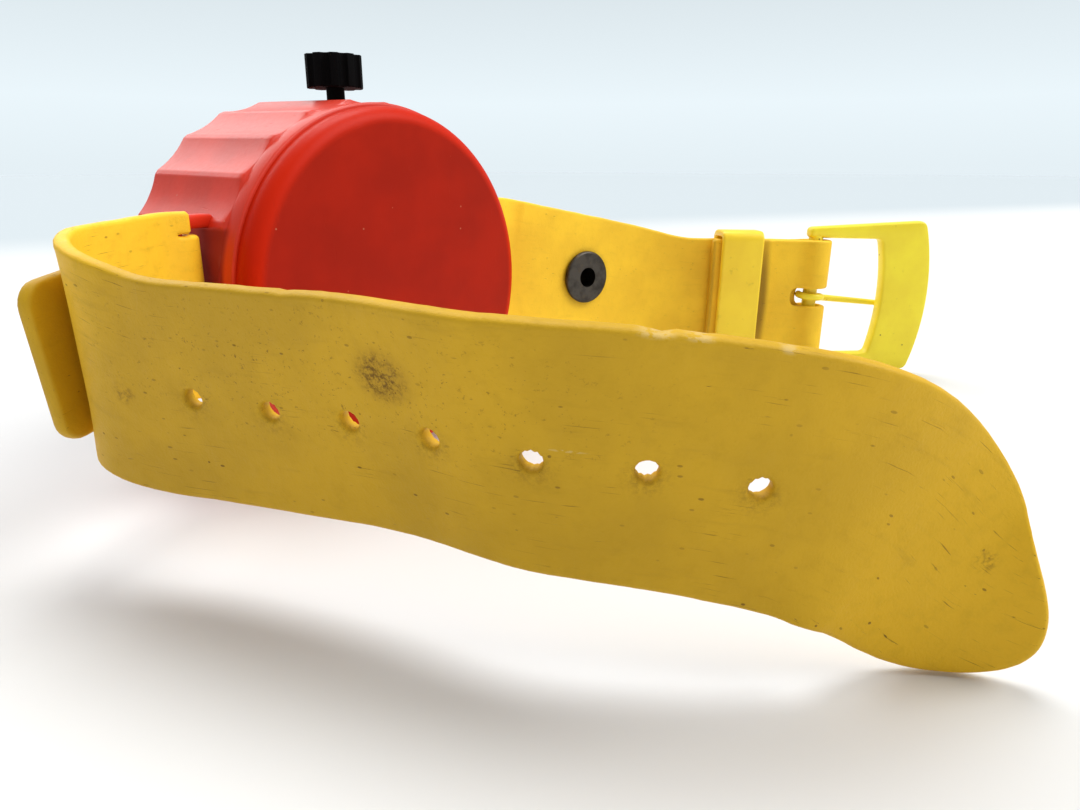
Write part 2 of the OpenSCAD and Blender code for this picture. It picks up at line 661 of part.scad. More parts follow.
// Straps
module rivet_bore(q, layers) {
    on_stop(q) rotate([-90, 0, 0]) translate([0, 0, -strap_t])
        cylinder(r = rivet_hole_r + rivet_wall + run_fit, h = layers + 2 * strap_t);
}
module long_strap() {
    stops = concat(turned_back(long_flap_stops), rest_of(long_stops));
    halves = concat([for (q = reversed(long_flap_stops)) flap_half(long_flap_total - q[3])],
        [for (q = rest_of(long_stops)) min(main_half(q[3]), tip_half(q[3], long_total))]);
    color(yellow) mirror([1, 0, 0]) difference() {
        ribbon(stops, halves);
        rivet_bore(long_rivet_stop, long_layers);
        for (i = [0:holes - 1]) on_stop(stop_at(long_stops, long_total - hole_inset - i * hole_pitch))
            rotate([-90, 0, 0]) translate([0, 0, -strap_t]) cylinder(d = hole_d, h = 2 * strap_t, $fn = 24);
    }
}
module short_strap() {
    slot_l = buckle_fold_r + fold_run * 0.8;
    stops = concat(turned_back(short_flap_stops), rest_of(short_stops), rest_of(fold_stops));
    halves = concat([for (q = reversed(short_flap_stops)) flap_half(short_flap_total - q[3])],
        [for (q = rest_of(short_stops)) main_half(q[3])], [for (q = rest_of(fold_stops)) strap_w / 2]);
    color(yellow) difference() {
        ribbon(stops, halves);
        rivet_bore(short_rivet_stop, short_layers);
        on_stop(bar_stop) translate([-slot_l, -slot_l, -slot_w / 2]) cube([2 * slot_l, 2 * slot_l, slot_w]);
    }
}

// Hollow rivet, clamping the flap to the strap: rolled over at its open end, with a closed head at the other
module rivet(q, layers) {
    flange_y0 = strap_t / 2 + hand_fit;
    grip = layers + 2 * flange_y0;
    inner = rivet_hole_r;
    outer = rivet_hole_r + rivet_wall;
    roll = rivet_rise / 2;
    on_stop(q) rotate([-90, 0, 0]) translate([0, 0, -flange_y0]) rotate_extrude() {
        translate([inner, -roll]) square([rivet_wall, grip + 2 * roll]);
        translate([0, grip]) square([inner + rivet_wall, rivet_rise]);
        for (side = [0, 1]) translate([0, side * grip]) mirror([0, 1 - side]) {
            translate([inner, 0]) square([rivet_r - roll - inner, rivet_rise]);
            translate([rivet_r - roll, 0]) intersection() {
                translate([0, roll]) circle(roll);
                square(rivet_rise);
            }
        }
    }
}
module long_strap_rivet() {
    color(steel) mirror([1, 0, 0]) rivet(long_rivet_stop, long_layers);
}
module short_strap_rivet() {
    color(steel) rivet(short_rivet_stop, short_layers);
}

// Keeper loop round both layers of the short strap
module keeper() {
    inner_t = buckle_shift + strap_t + 2 * keeper_play;
    inner_w = strap_w + 2 * keeper_play;
    color(bright_yellow) on_stop(keeper_stop) rotate([90, 0, 90]) translate([0, 0, -keeper_w / 2])
        linear_extrude(keeper_w) difference() {
            rounded_rect(inner_t + 2 * keeper_t, inner_w + 2 * keeper_t, keeper_t + keeper_play);
            rounded_rect(inner_t, inner_w, keeper_play);
        }
}

// Buckle: flared frame with a wide bowed far bar
frame_in = strap_w / 2 + fold_gap;
frame_near = frame_in + rail_w;
frame_back = buckle_bar_r + fold_play;
bow_r = buckle_w * 1.6;
module frame_outline() {
    intersection() {
        polygon([[-frame_back, -frame_near], [buckle_len, -buckle_w / 2], [buckle_len, buckle_w / 2],
            [-frame_back, frame_near]]);
        translate([buckle_len - bow_r, 0]) circle(bow_r, $fn = 128);
        translate([buckle_len / 2 - frame_back / 2, 0])
            rounded_rect(buckle_len + frame_back, buckle_w, frame_back);
    }
}
module frame_opening() {
    open_end = buckle_len - far_bar_w;
    far_in = buckle_w / 2 - rail_w;
    intersection() {
        polygon([[-frame_back - over, -frame_in], [0, -frame_in], [open_end, -far_in], [open_end, far_in], [0, frame_in],
            [-frame_back - over, frame_in]]);
        translate([open_end - bow_r, 0]) circle(bow_r, $fn = 128);
    }
}
module buckle_frame() {
    color(bright_yellow) on_stop(bar_stop) {
        translate([0, buckle_t / 2, 0]) rotate([90, 0, 0]) linear_extrude(buckle_t) difference() {
            frame_outline();
            frame_opening();
        }
        translate([0, 0, -frame_in - rail_w / 2]) cylinder(r = buckle_bar_r, h = 2 * frame_in + rail_w);
    }
}

// Tongue: ring on the buckle's bar and a pin that rests on the far bar
module buckle_tongue() {
    ring_r = buckle_bar_r + run_fit;
    wall = strap_t * 0.8;
    rest_y = buckle_t / 2 + tongue_r + run_fit * 2;
    ring_w = slot_w - 2 * fold_gap;
    reach = buckle_len - far_bar_w / 2;
    color(bright_yellow) on_stop(bar_stop) difference() {
        union() {
            translate([0, 0, -ring_w / 2]) cylinder(r = ring_r + wall, h = ring_w);
            translate([0, rest_y, 0]) rotate([0, 90, 0]) cylinder(r = tongue_r, h = reach, $fn = 32);
            translate([reach, rest_y, 0]) sphere(tongue_r, $fn = 32);
        }
        translate([0, 0, -ring_w]) cylinder(r = ring_r, h = 2 * ring_w);
    }
}

case_body();
back_cover();
crystal();
dial();
movement_plate();
minute_arbor();
minute_hand();
minute_wheel();
hour_wheel();
hour_hand();
crown();
stem();
stem_pinion();
long_strap();
long_strap_rivet();
short_strap();
short_strap_rivet();
keeper();
buckle_frame();
buckle_tongue();
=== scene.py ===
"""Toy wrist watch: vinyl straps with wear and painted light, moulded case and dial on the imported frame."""

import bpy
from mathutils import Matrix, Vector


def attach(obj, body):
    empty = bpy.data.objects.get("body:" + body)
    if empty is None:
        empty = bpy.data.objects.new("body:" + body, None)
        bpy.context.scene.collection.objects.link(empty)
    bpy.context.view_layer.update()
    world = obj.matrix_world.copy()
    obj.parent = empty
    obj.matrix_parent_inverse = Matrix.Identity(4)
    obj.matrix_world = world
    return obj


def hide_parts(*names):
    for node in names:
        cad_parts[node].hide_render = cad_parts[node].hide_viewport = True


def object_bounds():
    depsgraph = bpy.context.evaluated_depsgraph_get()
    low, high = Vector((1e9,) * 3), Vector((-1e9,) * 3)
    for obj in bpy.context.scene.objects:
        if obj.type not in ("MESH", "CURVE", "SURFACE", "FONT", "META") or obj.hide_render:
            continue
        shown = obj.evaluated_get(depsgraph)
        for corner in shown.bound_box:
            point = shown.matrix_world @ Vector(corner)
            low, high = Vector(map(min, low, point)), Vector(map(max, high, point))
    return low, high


bl_info = {
    "name": "Toy wrist watch",
    "version": (1, 0, 0),
    "blender": (4, 5, 0),
    "location": "View3D > Sidebar > Watch",
    "description": "Makes the straps, buckle, rivets and dial of a toy watch and sets its stage",
    "category": "Object",
}

import math
from bisect import bisect_right

import bmesh
import bpy
from mathutils import Matrix, Vector, noise
from mathutils.geometry import delaunay_2d_cdt

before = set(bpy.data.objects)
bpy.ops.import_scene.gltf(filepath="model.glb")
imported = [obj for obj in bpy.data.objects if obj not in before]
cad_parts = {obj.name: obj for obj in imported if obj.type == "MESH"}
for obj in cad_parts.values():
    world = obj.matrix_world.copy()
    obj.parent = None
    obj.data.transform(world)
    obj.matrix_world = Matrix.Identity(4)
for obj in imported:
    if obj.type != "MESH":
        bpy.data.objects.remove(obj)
CAD_BOX = [list(corner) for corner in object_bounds()]
MM = 0.001
UP = Vector((0, 0, 1))


# ---------------------------------------------------------------- settings

def length(name, description, default):
    return bpy.props.FloatProperty(
        name=name, description=description, default=default * MM, min=0, unit="LENGTH", precision=5)


def shade(name, description, default):
    return bpy.props.FloatVectorProperty(
        name=name, description=description, default=default, size=3, min=0, max=1, subtype="COLOR")


def strength(name, description, default):
    return bpy.props.FloatProperty(name=name, description=description, default=default, min=0)


def degrees(name, description, default):
    return bpy.props.FloatProperty(
        name=name, description=description, default=math.radians(default), subtype="ANGLE")


class StrapSizes(bpy.types.PropertyGroup):
    """Sizes of both strap halves"""
    width: length("Width", "Width of the strap", 18)
    tab: length("Tab", "Width of the tab inside the lug", 13.5)
    thick: length("Thickness", "Thickness of the vinyl", 1.2)
    rim: length("Edge", "How far the rounded edge reaches in", 0.42)
    hole: length("Hole", "Diameter of the sizing holes", 1.4)
    pitch: length("Pitch", "Distance between sizing holes", 6.85)
    inset: length("Inset", "From the tip to the first sizing hole", 23.9)


class FittingSizes(bpy.types.PropertyGroup):
    """Sizes of the rivets, keeper and buckle"""
    bore: length("Rivet bore", "Radius of a rivet's hole", 1.45)
    keeper: length("Keeper", "Width of the keeper loop", 6.6)
    keeper_wall: length("Keeper wall", "Thickness of the keeper loop", 1.0)
    buckle: length("Buckle", "Length of the buckle frame from its bar", 19.6)
    buckle_width: length("Buckle width", "Width of the buckle frame at its far bar", 24.4)
    far_bar: length("Far bar", "Width of the buckle's far bar", 8)
    tongue: length("Tongue", "Thickness of the buckle tongue", 1.1)


class WatchColours(bpy.types.PropertyGroup):
    """Colours of the moulded pieces"""
    # Vinyl and lit vinyl are a shaded and a lit copy of one strap colour: lit vinyl is painted light on the short strap
    # and on the long strap's inner run.
    vinyl: shade("Vinyl", "Strap", (0.60, 0.352, 0.011))
    clean: shade("Clean vinyl", "Less worn strap", (0.98, 0.59, 0.028))
    # Grime also paints the shadow band beside the keeper.
    grime: shade("Grime", "Dirt in the strap", (0.14, 0.064, 0.008))
    bright: shade("Buckle", "Buckle and tongue", (1.0, 0.80, 0.035))
    keeper: shade("Keeper", "Keeper loop", (1.0, 0.69, 0.03))
    # Painted light: the case body's red is lighter than the cover's, for the light on the drum's sides, and the cover's
    # darker red is painted shade on the back.
    red: shade("Case", "Case body", (0.68, 0.030, 0.007))
    cover: shade("Cover", "Back cover", (0.37, 0.011, 0.001))
    black: shade("Crown", "Crown, hands and figures", (0.0015, 0.0015, 0.0018))
    white: shade("Dial", "Dial and movement plate", (0.82, 0.81, 0.77))
    nylon: shade("Gears", "Gear wheels", (0.75, 0.72, 0.62))
    steel: shade("Rivets", "Rivets", (0.075, 0.066, 0.056))


class StageSettings(bpy.types.PropertyGroup):
    """Floor, light and camera"""
    floor: shade("Floor", "Floor", (0.70, 0.705, 0.70))
    wall: shade("Backdrop", "Colour behind the floor", (0.72, 0.80, 0.84))
    sun: strength("Sun", "Strength of the main light", 1.7)
    window: strength("Window", "Strength of the light from the left", 1.1)
    side: strength("Side", "Strength of the light from the right", 2.0)
    sky: strength("Sky", "Strength of the light from all round", 0.45)
    lens: bpy.props.FloatProperty(name="Lens", description="Focal length of the camera in mm", default=26)
    pitch: degrees("Tilt", "Camera tilt below level", 17.1)
    yaw: degrees("Turn", "Camera turn from straight ahead", 50.7)
    eye: bpy.props.FloatVectorProperty(
        name="Eye", description="Place of the camera", default=(-0.0582, -0.0671, 0.0131), subtype="TRANSLATION",
        unit="LENGTH")


class WatchSettings(bpy.types.PropertyGroup):
    """All settings of the watch"""
    strap: bpy.props.PointerProperty(type=StrapSizes, name="Strap", description="Strap sizes")
    fitting: bpy.props.PointerProperty(
        type=FittingSizes, name="Fittings", description="Rivet, keeper and buckle sizes")
    colour: bpy.props.PointerProperty(type=WatchColours, name="Colours", description="Colours of the pieces")
    stage: bpy.props.PointerProperty(type=StageSettings, name="Stage", description="Floor, light and camera")


# ---------------------------------------------------------------- finishes

class Wire:
    """An output of a finish's node tree; arithmetic on it adds Math nodes."""

    def __init__(self, finish, socket):
        self.finish = finish
        self.socket = socket

    def __add__(self, other):
        return self.finish.math("ADD", self, other)

    def __radd__(self, other):
        return self.finish.math("ADD", other, self)

    def __sub__(self, other):
        return self.finish.math("SUBTRACT", self, other)

    def __rsub__(self, other):
        return self.finish.math("SUBTRACT", other, self)

    def __mul__(self, other):
        return self.finish.math("MULTIPLY", self, other)

    def __rmul__(self, other):
        return self.finish.math("MULTIPLY", other, self)

    def __pow__(self, other):
        return self.finish.math("POWER", self, other)

    def __rpow__(self, other):
        return self.finish.math("POWER", other, self)


def fill_ramp(ramp, stops):
    """Gives a colour ramp its (position, colour) stops."""
    for element, (position, colour) in zip(ramp.elements, (stops[0], stops[-1])):
        element.position = position
        element.color = tuple(colour) + (1,)
    for position, colour in stops[1:-1]:
        ramp.elements.new(position).color = tuple(colour) + (1,)


class Finish:
    """A material, or the world, built up node by node; lengths in it are millimetres."""

    def __init__(self, owner):
        self.owner = owner
        owner.use_nodes = True
        self.tree = owner.node_tree
        self.tree.nodes.clear()

    def node(self, kind, settings=None, sockets=None, out=0):
        """Adds a node, sets it up, then fills its sockets with values or wires."""
        node = self.tree.nodes.new(kind)
        for key, value in (settings or {}).items():
            if key == "stops":
                fill_ramp(node.color_ramp, value)
            else:
                setattr(node, key, value)
        for key, value in (sockets or {}).items():
            if isinstance(value, Wire):
                self.tree.links.new(value.socket, node.inputs[key])
            else:
                node.inputs[key].default_value = value
        return Wire(self, node.outputs[out]) if node.outputs else None

    def math(self, operation, *values):
        return self.node("ShaderNodeMath", {"operation": operation}, dict(enumerate(values)))

    def vector(self, operation, *values, out=0):
        return self.node("ShaderNodeVectorMath", {"operation": operation}, dict(enumerate(values)), out)

    def mix(self, share, first, second):
        paint = [tuple(c) + (1,) if not isinstance(c, Wire) else c for c in (first, second)]
        return self.node("ShaderNodeMix", {"data_type": "RGBA"}, {0: share, 6: paint[0], 7: paint[1]}, 2)

    def place(self):
        """Where a point is in the part's frame, in millimetres."""
        where = self.node("ShaderNodeTexCoord", out="Object")
        return self.node("ShaderNodeVectorMath", {"operation": "SCALE"}, {0: where, "Scale": 1 / MM})

    def strap_place(self):
        """Where a point is on the strap: along, across and which face, in millimetres."""
        return self.node("ShaderNodeAttribute", {"attribute_name": "strap_place"}, out="Vector")

    def part(self, where, axis):
        return self.node("ShaderNodeSeparateXYZ", sockets={0: where}, out="XYZ".index(axis))

    def stretched(self, where, scale, shift=(0, 0, 0)):
        return self.vector("ADD", self.vector("MULTIPLY", where, scale), shift)

    def cloud(self, where, scale, detail=3.0, rough=0.55, twist=0.0):
        return self.node("ShaderNodeTexNoise", sockets={
            "Vector": where, "Scale": scale, "Detail": detail, "Roughness": rough, "Distortion": twist})

    def cells(self, where, scale, out):
        return self.node("ShaderNodeTexVoronoi", sockets={"Vector": where, "Scale": scale}, out=out)

    def ease(self, value, low, high):
        """0 below low, 1 above high and a smooth rise between; falls if low is above high."""
        flip = low > high
        return self.node("ShaderNodeMapRange", {"interpolation_type": "SMOOTHSTEP"}, {
            0: value, 1: min(low, high), 2: max(low, high), 3: 1.0 if flip else 0.0, 4: 0.0 if flip else 1.0})

    def specks(self, where, spacing, size, share):
        """Scattered dots about size across, on a share of the cells."""
        near = self.cells(where, 1 / spacing, "Distance")
        pick = self.part(self.cells(where, 1 / spacing, "Color"), "X")
        reach = size / spacing
        return self.ease(near, reach * 0.62, reach * 0.38) * self.ease(pick, 1 - share, 1 - share + 0.04)

    def spot(self, where, at, reach):
        """1 at a place on the strap, falling to 0 at its reach."""
        apart = self.vector("SUBTRACT", where, (at[0], at[1], 0))
        far = self.vector("LENGTH", self.vector("DIVIDE", apart, (reach[0], reach[1], 1e6)), out=1)
        return self.ease(far, 1.0, 0.25)

    def bump(self, height, depth, normal=None):
        """A normal from a height of 0 to 1 that stands for depth in millimetres."""
        sockets = {"Height": height, "Strength": 1.0, "Distance": depth * MM}
        if normal:
            sockets["Normal"] = normal
        return self.node("ShaderNodeBump", sockets=sockets)

    def soft_edge(self, radius):
        return self.node("ShaderNodeBevel", {"samples": 6}, {"Radius": radius * MM})

    def close(self, base, roughness, normal=None, **fixed):
        """The shader: base, roughness and normal may vary, the fixed values hold all over."""
        sockets = {"Base Color": base if isinstance(base, Wire) else tuple(base) + (1,), "Roughness": roughness}
        if normal:
            sockets["Normal"] = normal
        for key, value in fixed.items():
            sockets[key.replace("_", " ").title().replace("Ior", "IOR")] = value
        shader = self.node("ShaderNodeBsdfPrincipled", sockets=sockets)
        self.node("ShaderNodeOutputMaterial", sockets={"Surface": shader})
        return self.owner


def new_finish(name):
    return Finish(bpy.data.materials.new(name))


def toned(colour, by):
    """A colour made darker or lighter."""
    return tuple(min(1, c * by) for c in colour)


def worn_vinyl(name, colour, stains, bands, scuffs, worn_and_shaded):
    """Yellow vinyl: mottled, with dirty specks, grimy at the holes and rubbed at its edges, with painted light on its
    lit parts and a painted shadow band beside the keeper.
    """
    f = new_finish(name)
    on = f.strap_place()
    where = f.place()
    base, grime = tuple(colour.vinyl if worn_and_shaded else colour.clean), tuple(colour.grime)
    broad = f.cloud(where, 0.09, 3)
    fine = f.cloud(where, 0.9, 5, 0.65)
    paint = f.mix(f.ease(broad, 0.35, 0.68), toned(base, 0.90), toned(base, 1.06))
    if worn_and_shaded:
        run = f.part(on, "X")
        # Painted light: the inner run, from the lug to the bend, gets the lit vinyl.
        paint = f.mix(f.ease(run, 24.0, 15.0) * f.ease(run, -6.0, 2.0), paint, tuple(colour.clean))
        # The strap also turns lighter towards its tip.
        paint = f.mix(f.ease(run, 66.0, 94.0) * 0.7, paint, toned(base, 1.34))
    paint = f.mix(f.ease(fine, 0.45, 0.75) * 0.2, paint, toned(base, 0.72))
    smear = f.cloud(f.stretched(on, (0.16, 0.9, 3)), 1.0, 4, 0.6)
    paint = f.mix(f.ease(smear, 0.56, 0.74) * 0.22, paint, toned(base, 0.66))
    streak = f.cloud(f.stretched(on, (0.55, 3.2, 5)), 1.0, 3, 0.6, 0.4)
    patch = f.cloud(where, 0.16, 2)
    streak = f.ease(streak, 0.68, 0.75) * f.ease(patch, 0.42, 0.62)
    dots = f.specks(on, 1.6, 0.22, 0.22) + f.specks(f.stretched(on, (0.5, 1, 1), (3.7, 1.9, 0)), 0.7, 0.18, 0.3)
    dots = dots * (f.ease(patch, 0.40, 0.64) * 0.65 + 0.35)
    lines = f.cloud(f.stretched(on, (0.22, 7.0, 5)), 1.0, 3, 0.6, 0.3)
    lines = f.ease(lines, 0.63, 0.72) * f.ease(f.cloud(where, 0.12, 2), 0.44, 0.62)
    dirt_and_shade = streak * 0.7 + lines * (0.7 if worn_and_shaded else 0.12) + dots * (0.75 if worn_and_shaded else 0.2)
    faced = 1.0
    if worn_and_shaded:
        faced = f.ease(f.part(on, "Z"), -0.2, 0.6)
        pepper = f.ease(f.cloud(on, 2.6, 4, 0.8), 0.60, 0.68) * f.spot(on, (42.0, 3.5), (32.0, 8.0))
        dirt_and_shade = dirt_and_shade + pepper * faced * 0.7
    for at, reach, weight in stains:
        dirt_and_shade = dirt_and_shade + f.spot(on, at, reach) * f.ease(f.cloud(on, 2.4, 5, 0.75), 0.40, 0.68) * faced * weight
    # Bands darken evenly, without a cloud: one is painted shadow beside the keeper, the others darken round a stain, a
    # rivet and a strap's end.
    for at, reach, weight in bands:
        dirt_and_shade = dirt_and_shade + f.spot(on, at, reach) * weight
    dirt_and_shade = f.math("MINIMUM", dirt_and_shade, 0.9)
    paint = f.mix(dirt_and_shade, paint, grime)
    rubbed = f.ease(f.cloud(f.stretched(on, (0.8, 0.3, 1)), 1.0, 4, 0.6), 0.55, 0.66)
    mark = 0.0
    for at, reach, weight in scuffs:
        mark = f.spot(on, at, reach) * weight + mark
    if scuffs:
        pale = f.math("MINIMUM", mark * f.ease(f.cloud(on, 2.4, 3, 0.6), 0.4, 0.5), 1.0)
        paint = f.mix(pale, paint, (0.72, 0.60, 0.34))
    grain = f.cloud(where, 5.0, 3, 0.6)
    height = grain * 0.35 + fine * 0.45 + streak * -0.35 + dots * 0.3
    rough = 0.44 + fine * 0.2 + dirt_and_shade * 0.18 + rubbed * -0.07
    return f.close(paint, rough, f.bump(height, 0.10), Specular_IOR_Level=0.22)


def moulded_red(name, red, gloss, highlight_lip=None, recess=None):
    """Glossy red plastic with flow marks, fine scratches and dust specks, painted shade in the lug recesses and a
    painted highlight round the cover's rim.
    """
    f = new_finish(name)
    where = f.place()
    red = tuple(red)
    cloud = f.cloud(where, 0.12, 3)
    paint = f.mix(f.ease(cloud, 0.3, 0.7), toned(red, 0.88), toned(red, 1.08))
    fine = f.cloud(where, 1.6, 5, 0.65)
    paint = f.mix(f.ease(fine, 0.58, 0.8) * 0.25, paint, toned(red, 0.6))
    # Painted highlight: a lighter ring round the cover's rounded rim.
    if highlight_lip:
        across = f.part(where, "X") ** 2.0 + f.part(where, "Z") ** 2.0
        paint = f.mix(f.ease(across, (highlight_lip - 1.9) ** 2, (highlight_lip - 0.9) ** 2), paint, toned(red, 1.55))
    hidden = 0.0
    # Painted shade: the recess behind each lug bar, under the ears, is darkened.
    if recess:
        out, along, up = (f.math("ABSOLUTE", f.part(where, axis) - middle)
                          for axis, middle in (("X", 0), ("Y", recess), ("Z", 0)))
        hidden = f.ease(out, 17.2, 18.2) * f.ease(along, 4.4, 3.4) * f.ease(up, 7.5, 6.9)
        paint = f.mix(hidden, paint, toned(red, 0.52))
    dust = f.specks(where, 1.3, 0.2, 0.2)
    paint = f.mix(dust * 0.5, paint, (0.62, 0.26, 0.16))
    scratch = f.cloud(f.stretched(where, (5, 0.5, 0.35), (2, 0, 1)), 1.0, 2, 0.5, 0.6)
    scratch = f.ease(scratch, 0.71, 0.74)
    rough = 0.34 + fine * 0.14 + scratch * 0.15 + hidden * 0.45
    height = fine * 0.5 + scratch * -0.3 + cloud * 0.6
    return f.close(paint, rough, f.bump(height, 0.03), Specular_IOR_Level=gloss)


def moulded_plain(name, base, rough, depth, edge, dust, gloss=0.3):
    """Moulded plastic with slight flow marks, dust and softened edges."""
    f = new_finish(name)
    where = f.place()
    base = tuple(base)
    fine = f.cloud(where, 1.4, 5, 0.6)
    broad = f.cloud(where, 0.2, 2)
    paint = f.mix(f.ease(broad, 0.3, 0.7), toned(base, 0.92), toned(base, 1.05))
    paint = f.mix(f.ease(fine, 0.55, 0.8) * 0.2, paint, toned(base, 0.72))
    paint = f.mix(f.specks(where, 1.1, 0.16, 0.18) * 0.6, paint, dust)
    return f.close(paint, rough + fine * 0.14, f.bump(fine, depth, f.soft_edge(edge)), Specular_IOR_Level=gloss)


def bright_yellow(name, base, grime):
    """Glossy bright yellow plastic with small smudges and scuffs."""
    f = new_finish(name)
    where = f.place()
    base = tuple(base)
    broad = f.cloud(where, 0.17, 3)
    fine = f.cloud(where, 1.5, 5, 0.65)
    paint = f.mix(f.ease(broad, 0.32, 0.7), toned(base, 0.93), toned(base, 1.05))
    smudge = f.ease(f.cloud(where, 0.55, 4, 0.7), 0.62, 0.74)
    paint = f.mix(smudge * 0.35, paint, toned(base, 0.5))
    dots = f.specks(where, 1.4, 0.28, 0.16)
    paint = f.mix(dots * 0.7, paint, tuple(grime))
    rough = 0.27 + fine * 0.16 + smudge * 0.2
    return f.close(paint, rough, f.bump(fine + broad, 0.03), Specular_IOR_Level=0.35)


def rivet_steel(name, colour):
    """Dull plated steel with spun lines, pits and a little tarnish."""
    f = new_finish(name)
    where = f.place()
    base = tuple(colour.steel)
    fine = f.cloud(where, 3.0, 5, 0.65)
    patch = f.cloud(where, 0.6, 4, 0.6)
    paint = f.mix(f.ease(patch, 0.42, 0.68), toned(base, 1.15), toned(base, 0.62))
    tarnish = f.ease(f.cloud(where, 1.1, 5, 0.7), 0.56, 0.7)
    paint = f.mix(tarnish * 0.5, paint, (0.16, 0.11, 0.06))
    rough = 0.3 + fine * 0.2 + tarnish * 0.2
    return f.close(paint, rough, f.bump(fine, 0.03), Metallic=1.0)


def clear_crystal(name):
    """Clear plastic window with faint haze."""
    f = new_finish(name)
    where = f.place()
    haze = f.cloud(where, 0.6, 4, 0.6)
    rough = 0.03 + f.ease(haze, 0.5, 0.8) * 0.08
    return f.close((1, 1, 1), rough, IOR=1.49, Transmission_Weight=1.0)


# ---------------------------------------------------------------- shapes

RIM_ROWS = 8
RIM_POWER = 0.75  # below 1, so the rim is squarer than a half circle
SLIVER = 1e-4     # twice the area of the smallest triangle that is kept
MERGE = 1e-6


def new_piece(name, points, faces, finish, body, node, strap_place=None):
    """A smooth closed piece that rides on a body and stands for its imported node."""
    mesh = bpy.data.meshes.new(name)
    mesh.from_pydata([tuple(p) for p in points], [], faces)
    shape = bmesh.new()
    shape.from_mesh(mesh)
    bmesh.ops.recalc_face_normals(shape, faces=shape.faces)
    for face in shape.faces:
        face.smooth = True
    shape.to_mesh(mesh)
    shape.free()
    if strap_place:
        spot = mesh.attributes.new("strap_place", "FLOAT_VECTOR", "POINT")
        spot.data.foreach_set("vector", [c for place in strap_place for c in place])
    mesh.validate()
    piece = bpy.data.objects.new(name, mesh)
    bpy.context.scene.collection.objects.link(piece)
    mesh.materials.append(finish)
    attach(piece, body)
    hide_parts(node)


def dress(node, finish):
    """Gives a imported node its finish."""
    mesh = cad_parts[node].data
    mesh.materials.clear()
    mesh.materials.append(finish)


def steps(first, last, gap):
    """Even steps of about a gap from first to last, both included."""
    count = max(1, round((last - first) / gap))
    return [first + (last - first) * i / count for i in range(count + 1)]


def divided(loop, gap):
    """A closed loop with its long sides divided into steps of about a gap."""
    dense = []
    for i, p in enumerate(loop):
        q = loop[(i + 1) % len(loop)]
        dense += [p.lerp(q, t) for t in steps(0, 1, gap / max(gap, (q - p).length))[:-1]]
    return dense


def shifted(loop, distance):
    """A closed loop moved to its left by a distance."""
    moved = []
    for i, corner in enumerate(loop):
        before = (corner - loop[i - 1]).normalized()
        after = (loop[(i + 1) % len(loop)] - corner).normalized()
        left = Vector((-before.y, before.x)) + Vector((-after.y, after.x))
        left.normalize()
        lean = max(0.5, left.dot(Vector((-before.y, before.x))))
        moved.append(corner + left * (distance / lean))
    return moved


def circle(centre, radius, count):
    return [Vector(centre) + Vector((math.cos(a), math.sin(a))) * radius
            for a in (2 * math.pi * i / count for i in range(count))]


def filleted(corners, count=6):
    """A loop with its corners rounded; each corner is (x, y, radius)."""
    loop = []
    for i, (x, y, radius) in enumerate(corners):
        here = Vector((x, y))
        if radius <= 0:
            loop.append(here)
            continue
        back = Vector(corners[i - 1][:2]) - here
        on = Vector(corners[(i + 1) % len(corners)][:2]) - here
        half = back.angle(on) / 2
        reach = min(radius / math.tan(half), back.length * 0.49, on.length * 0.49)
        start, end = here + back.normalized() * reach, here + on.normalized() * reach
        for k in range(count + 1):
            t = k / count
            loop.append(start * (1 - t) ** 2 + here * (2 * t * (1 - t)) + end * t ** 2)
    return loop


def rounded_box(left, right, half, radius, count=6):
    """A loop from left to right and half to each side, with rounded corners."""
    return filleted([(left, -half, radius), (right, -half, radius), (right, half, radius), (left, half, radius)], count)


def inside(loop, point):
    """Whether a point is inside a closed loop."""
    hit = False
    for i, b in enumerate(loop):
        a = loop[i - 1]
        if (a.y > point.y) != (b.y > point.y):
            if point.x < (b.x - a.x) * (point.y - a.y) / (b.y - a.y) + a.x:
                hit = not hit
    return hit


